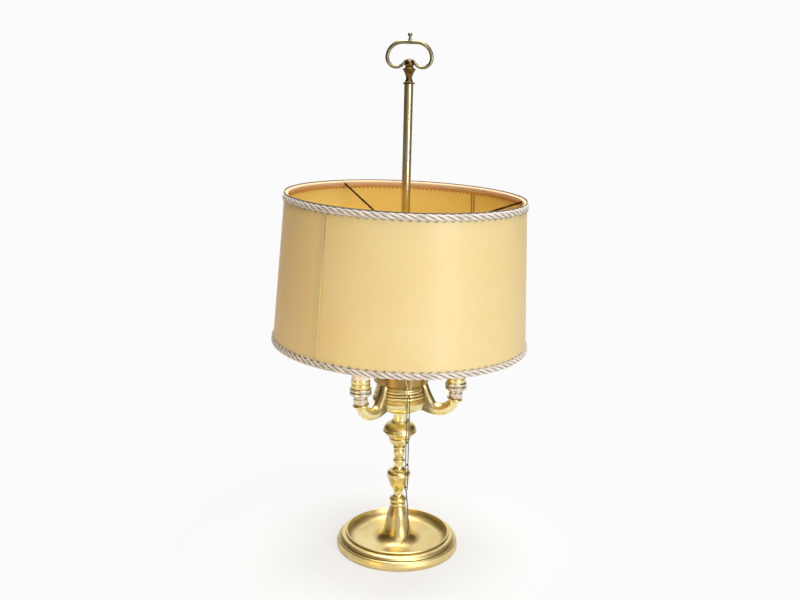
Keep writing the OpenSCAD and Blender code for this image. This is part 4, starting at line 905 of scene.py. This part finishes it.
# %% Floor
span = 12.0
corners = [(-span, -span, 0), (span, -span, 0), (span, span, 0), (-span, span, 0)]
floor_mesh = bpy.data.meshes.new("studio_floor")
floor_mesh.from_pydata(corners, [], [(0, 1, 2, 3)])
floor = put_in_scene("studio_floor", floor_mesh)
# To the eye: a seamless white sheet, faintly grey where the lamp keeps light off it
white_sheet, tree, shader, place = new_material("white_paper_sheet")
shadow_near = 0.12
shadow_far = 0.45
fill(tree, shader, {"Base Color": linear("#D2D2D2"), "Roughness": 0.9})
far = add(tree, "ShaderNodeVectorMath", {"operation": "LENGTH"}, {0: place}).outputs["Value"]
fade = add(tree, "ShaderNodeMapRange", {"interpolation_type": "SMOOTHSTEP"},
           {"Value": far, "From Min": shadow_near, "From Max": shadow_far,
            "To Min": 0.6, "To Max": 1.0}).outputs[0]
glow = add(tree, "ShaderNodeEmission", {}, {"Color": sheet_white, "Strength": 1.0})
fading = add(tree, "ShaderNodeMixShader", {}, {0: fade, 1: shader.outputs[0], 2: glow.outputs[0]})
shown = add(tree, "ShaderNodeMixShader", {},
            {0: shows_white(tree, behind_lamp(tree, place)), 1: shader.outputs[0], 2: fading.outputs[0]})
fill(tree, tree.nodes["Material Output"], {"Surface": shown.outputs[0]})
floor_mesh.materials.append(white_sheet)
print("floor", 2 * span, "m wide")

# %% [markdown]
# ## Light
# A bright wall behind the camera lights the lamp from the front, a little from the right. A tall
# softbox stands further right, where it shows as the pale band down the shade. A large one stands high
# in front and reaches into the shade's top, and the strongest hangs above. A small yellow one stands
# low on the left, close by, so that the shade is darkest at its top left. Brass shows its shape by what
# it mirrors: a bright front, a white sheet behind, a pale ceiling and dim sides.

# %% Softboxes
def softbox(name, place, aim, size, power, colour="#FFFFFF"):
    """A lamp with a wide face that is turned to its aim. Sizes are in metres and power in watts."""
    data = bpy.data.lights.new(name, "AREA")
    data.color = linear(colour)[:3]
    data.shape = "RECTANGLE"
    data.size, data.size_y = size
    data.energy = power
    lamp = put_in_scene(name, data)
    lamp.location = place
    lamp.rotation_euler = (Vector(aim) - Vector(place)).to_track_quat("-Z", "Y").to_euler()
    return lamp


lamp_middle = (0, 0, 0.35)
softbox("right_softbox", (1.08, -1.44, 0.45), lamp_middle, size=(0.36, 0.8), power=8.5)
softbox("front_softbox", (0.6, -1.65, 1.8), lamp_middle, size=(1.0, 1.0), power=13)
softbox("low_left_softbox", (-0.5, -0.65, 0.12), (-0.1, -0.1, 0.36), size=(0.3, 0.3), power=0.85,
        colour="#FFCE4C")
softbox("top_softbox", (0.1, 0.2, 2.2), lamp_middle, size=(1.4, 1.4), power=64)

# %% Room and backdrop
world = bpy.data.worlds.new("studio")
bpy.context.scene.world = world
world.use_nodes = True
tree = world.node_tree
side = add(tree, "ShaderNodeTexCoord", {}, {}).outputs["Generated"]
wall_side = Vector((0.45, -0.89, 0)).normalized()
wall_strength = 1.05
room_strength = 0.12
ceiling_strength = 0.45
sheet_strength = 0.6
to_wall = add(tree, "ShaderNodeVectorMath", {"operation": "DOT_PRODUCT"},
              {0: side, 1: wall_side}).outputs["Value"]
wall = add(tree, "ShaderNodeMapRange", {"interpolation_type": "SMOOTHSTEP"},
           {"Value": to_wall, "From Min": 0.42, "From Max": 0.95,
            "To Min": room_strength, "To Max": wall_strength}).outputs[0]
axes = add(tree, "ShaderNodeSeparateXYZ", {}, {"Vector": side})
ceiling = add(tree, "ShaderNodeMapRange", {"interpolation_type": "SMOOTHSTEP"},
              {"Value": axes.outputs[2], "From Min": 0.2, "From Max": 0.8,
               "To Max": ceiling_strength}).outputs[0]
behind = behind_lamp(tree, side)
rear = add(tree, "ShaderNodeMath", {"operation": "MULTIPLY"}, {0: behind, 1: sheet_strength}).outputs[0]
upper = add(tree, "ShaderNodeMath", {"operation": "MAXIMUM"}, {0: ceiling, 1: rear}).outputs[0]
bright = add(tree, "ShaderNodeMath", {"operation": "MAXIMUM"}, {0: wall, 1: upper}).outputs[0]
room = tree.nodes["Background"]
paint = add(tree, "ShaderNodeMix", {"data_type": "RGBA"},
            {0: bright, 6: linear("#B48C34"), 7: linear("#F6F5F3")}).outputs[2]
fill(tree, room, {"Color": paint, "Strength": bright})
backdrop = add(tree, "ShaderNodeBackground", {}, {"Color": sheet_white, "Strength": 1.0})
mixed = add(tree, "ShaderNodeMixShader", {},
            {0: shows_white(tree, behind), 1: room.outputs[0], 2: backdrop.outputs[0]})
fill(tree, tree.nodes["World Output"], {"Surface": mixed.outputs[0]})
bpy.context.scene.view_settings.view_transform = "Standard"
print("world:", world.name)

# %% [markdown]
# ## End
# The dressed lamp has to stay inside the frame's own box, apart from a little cloth.

# %% Finish
print("scene built")
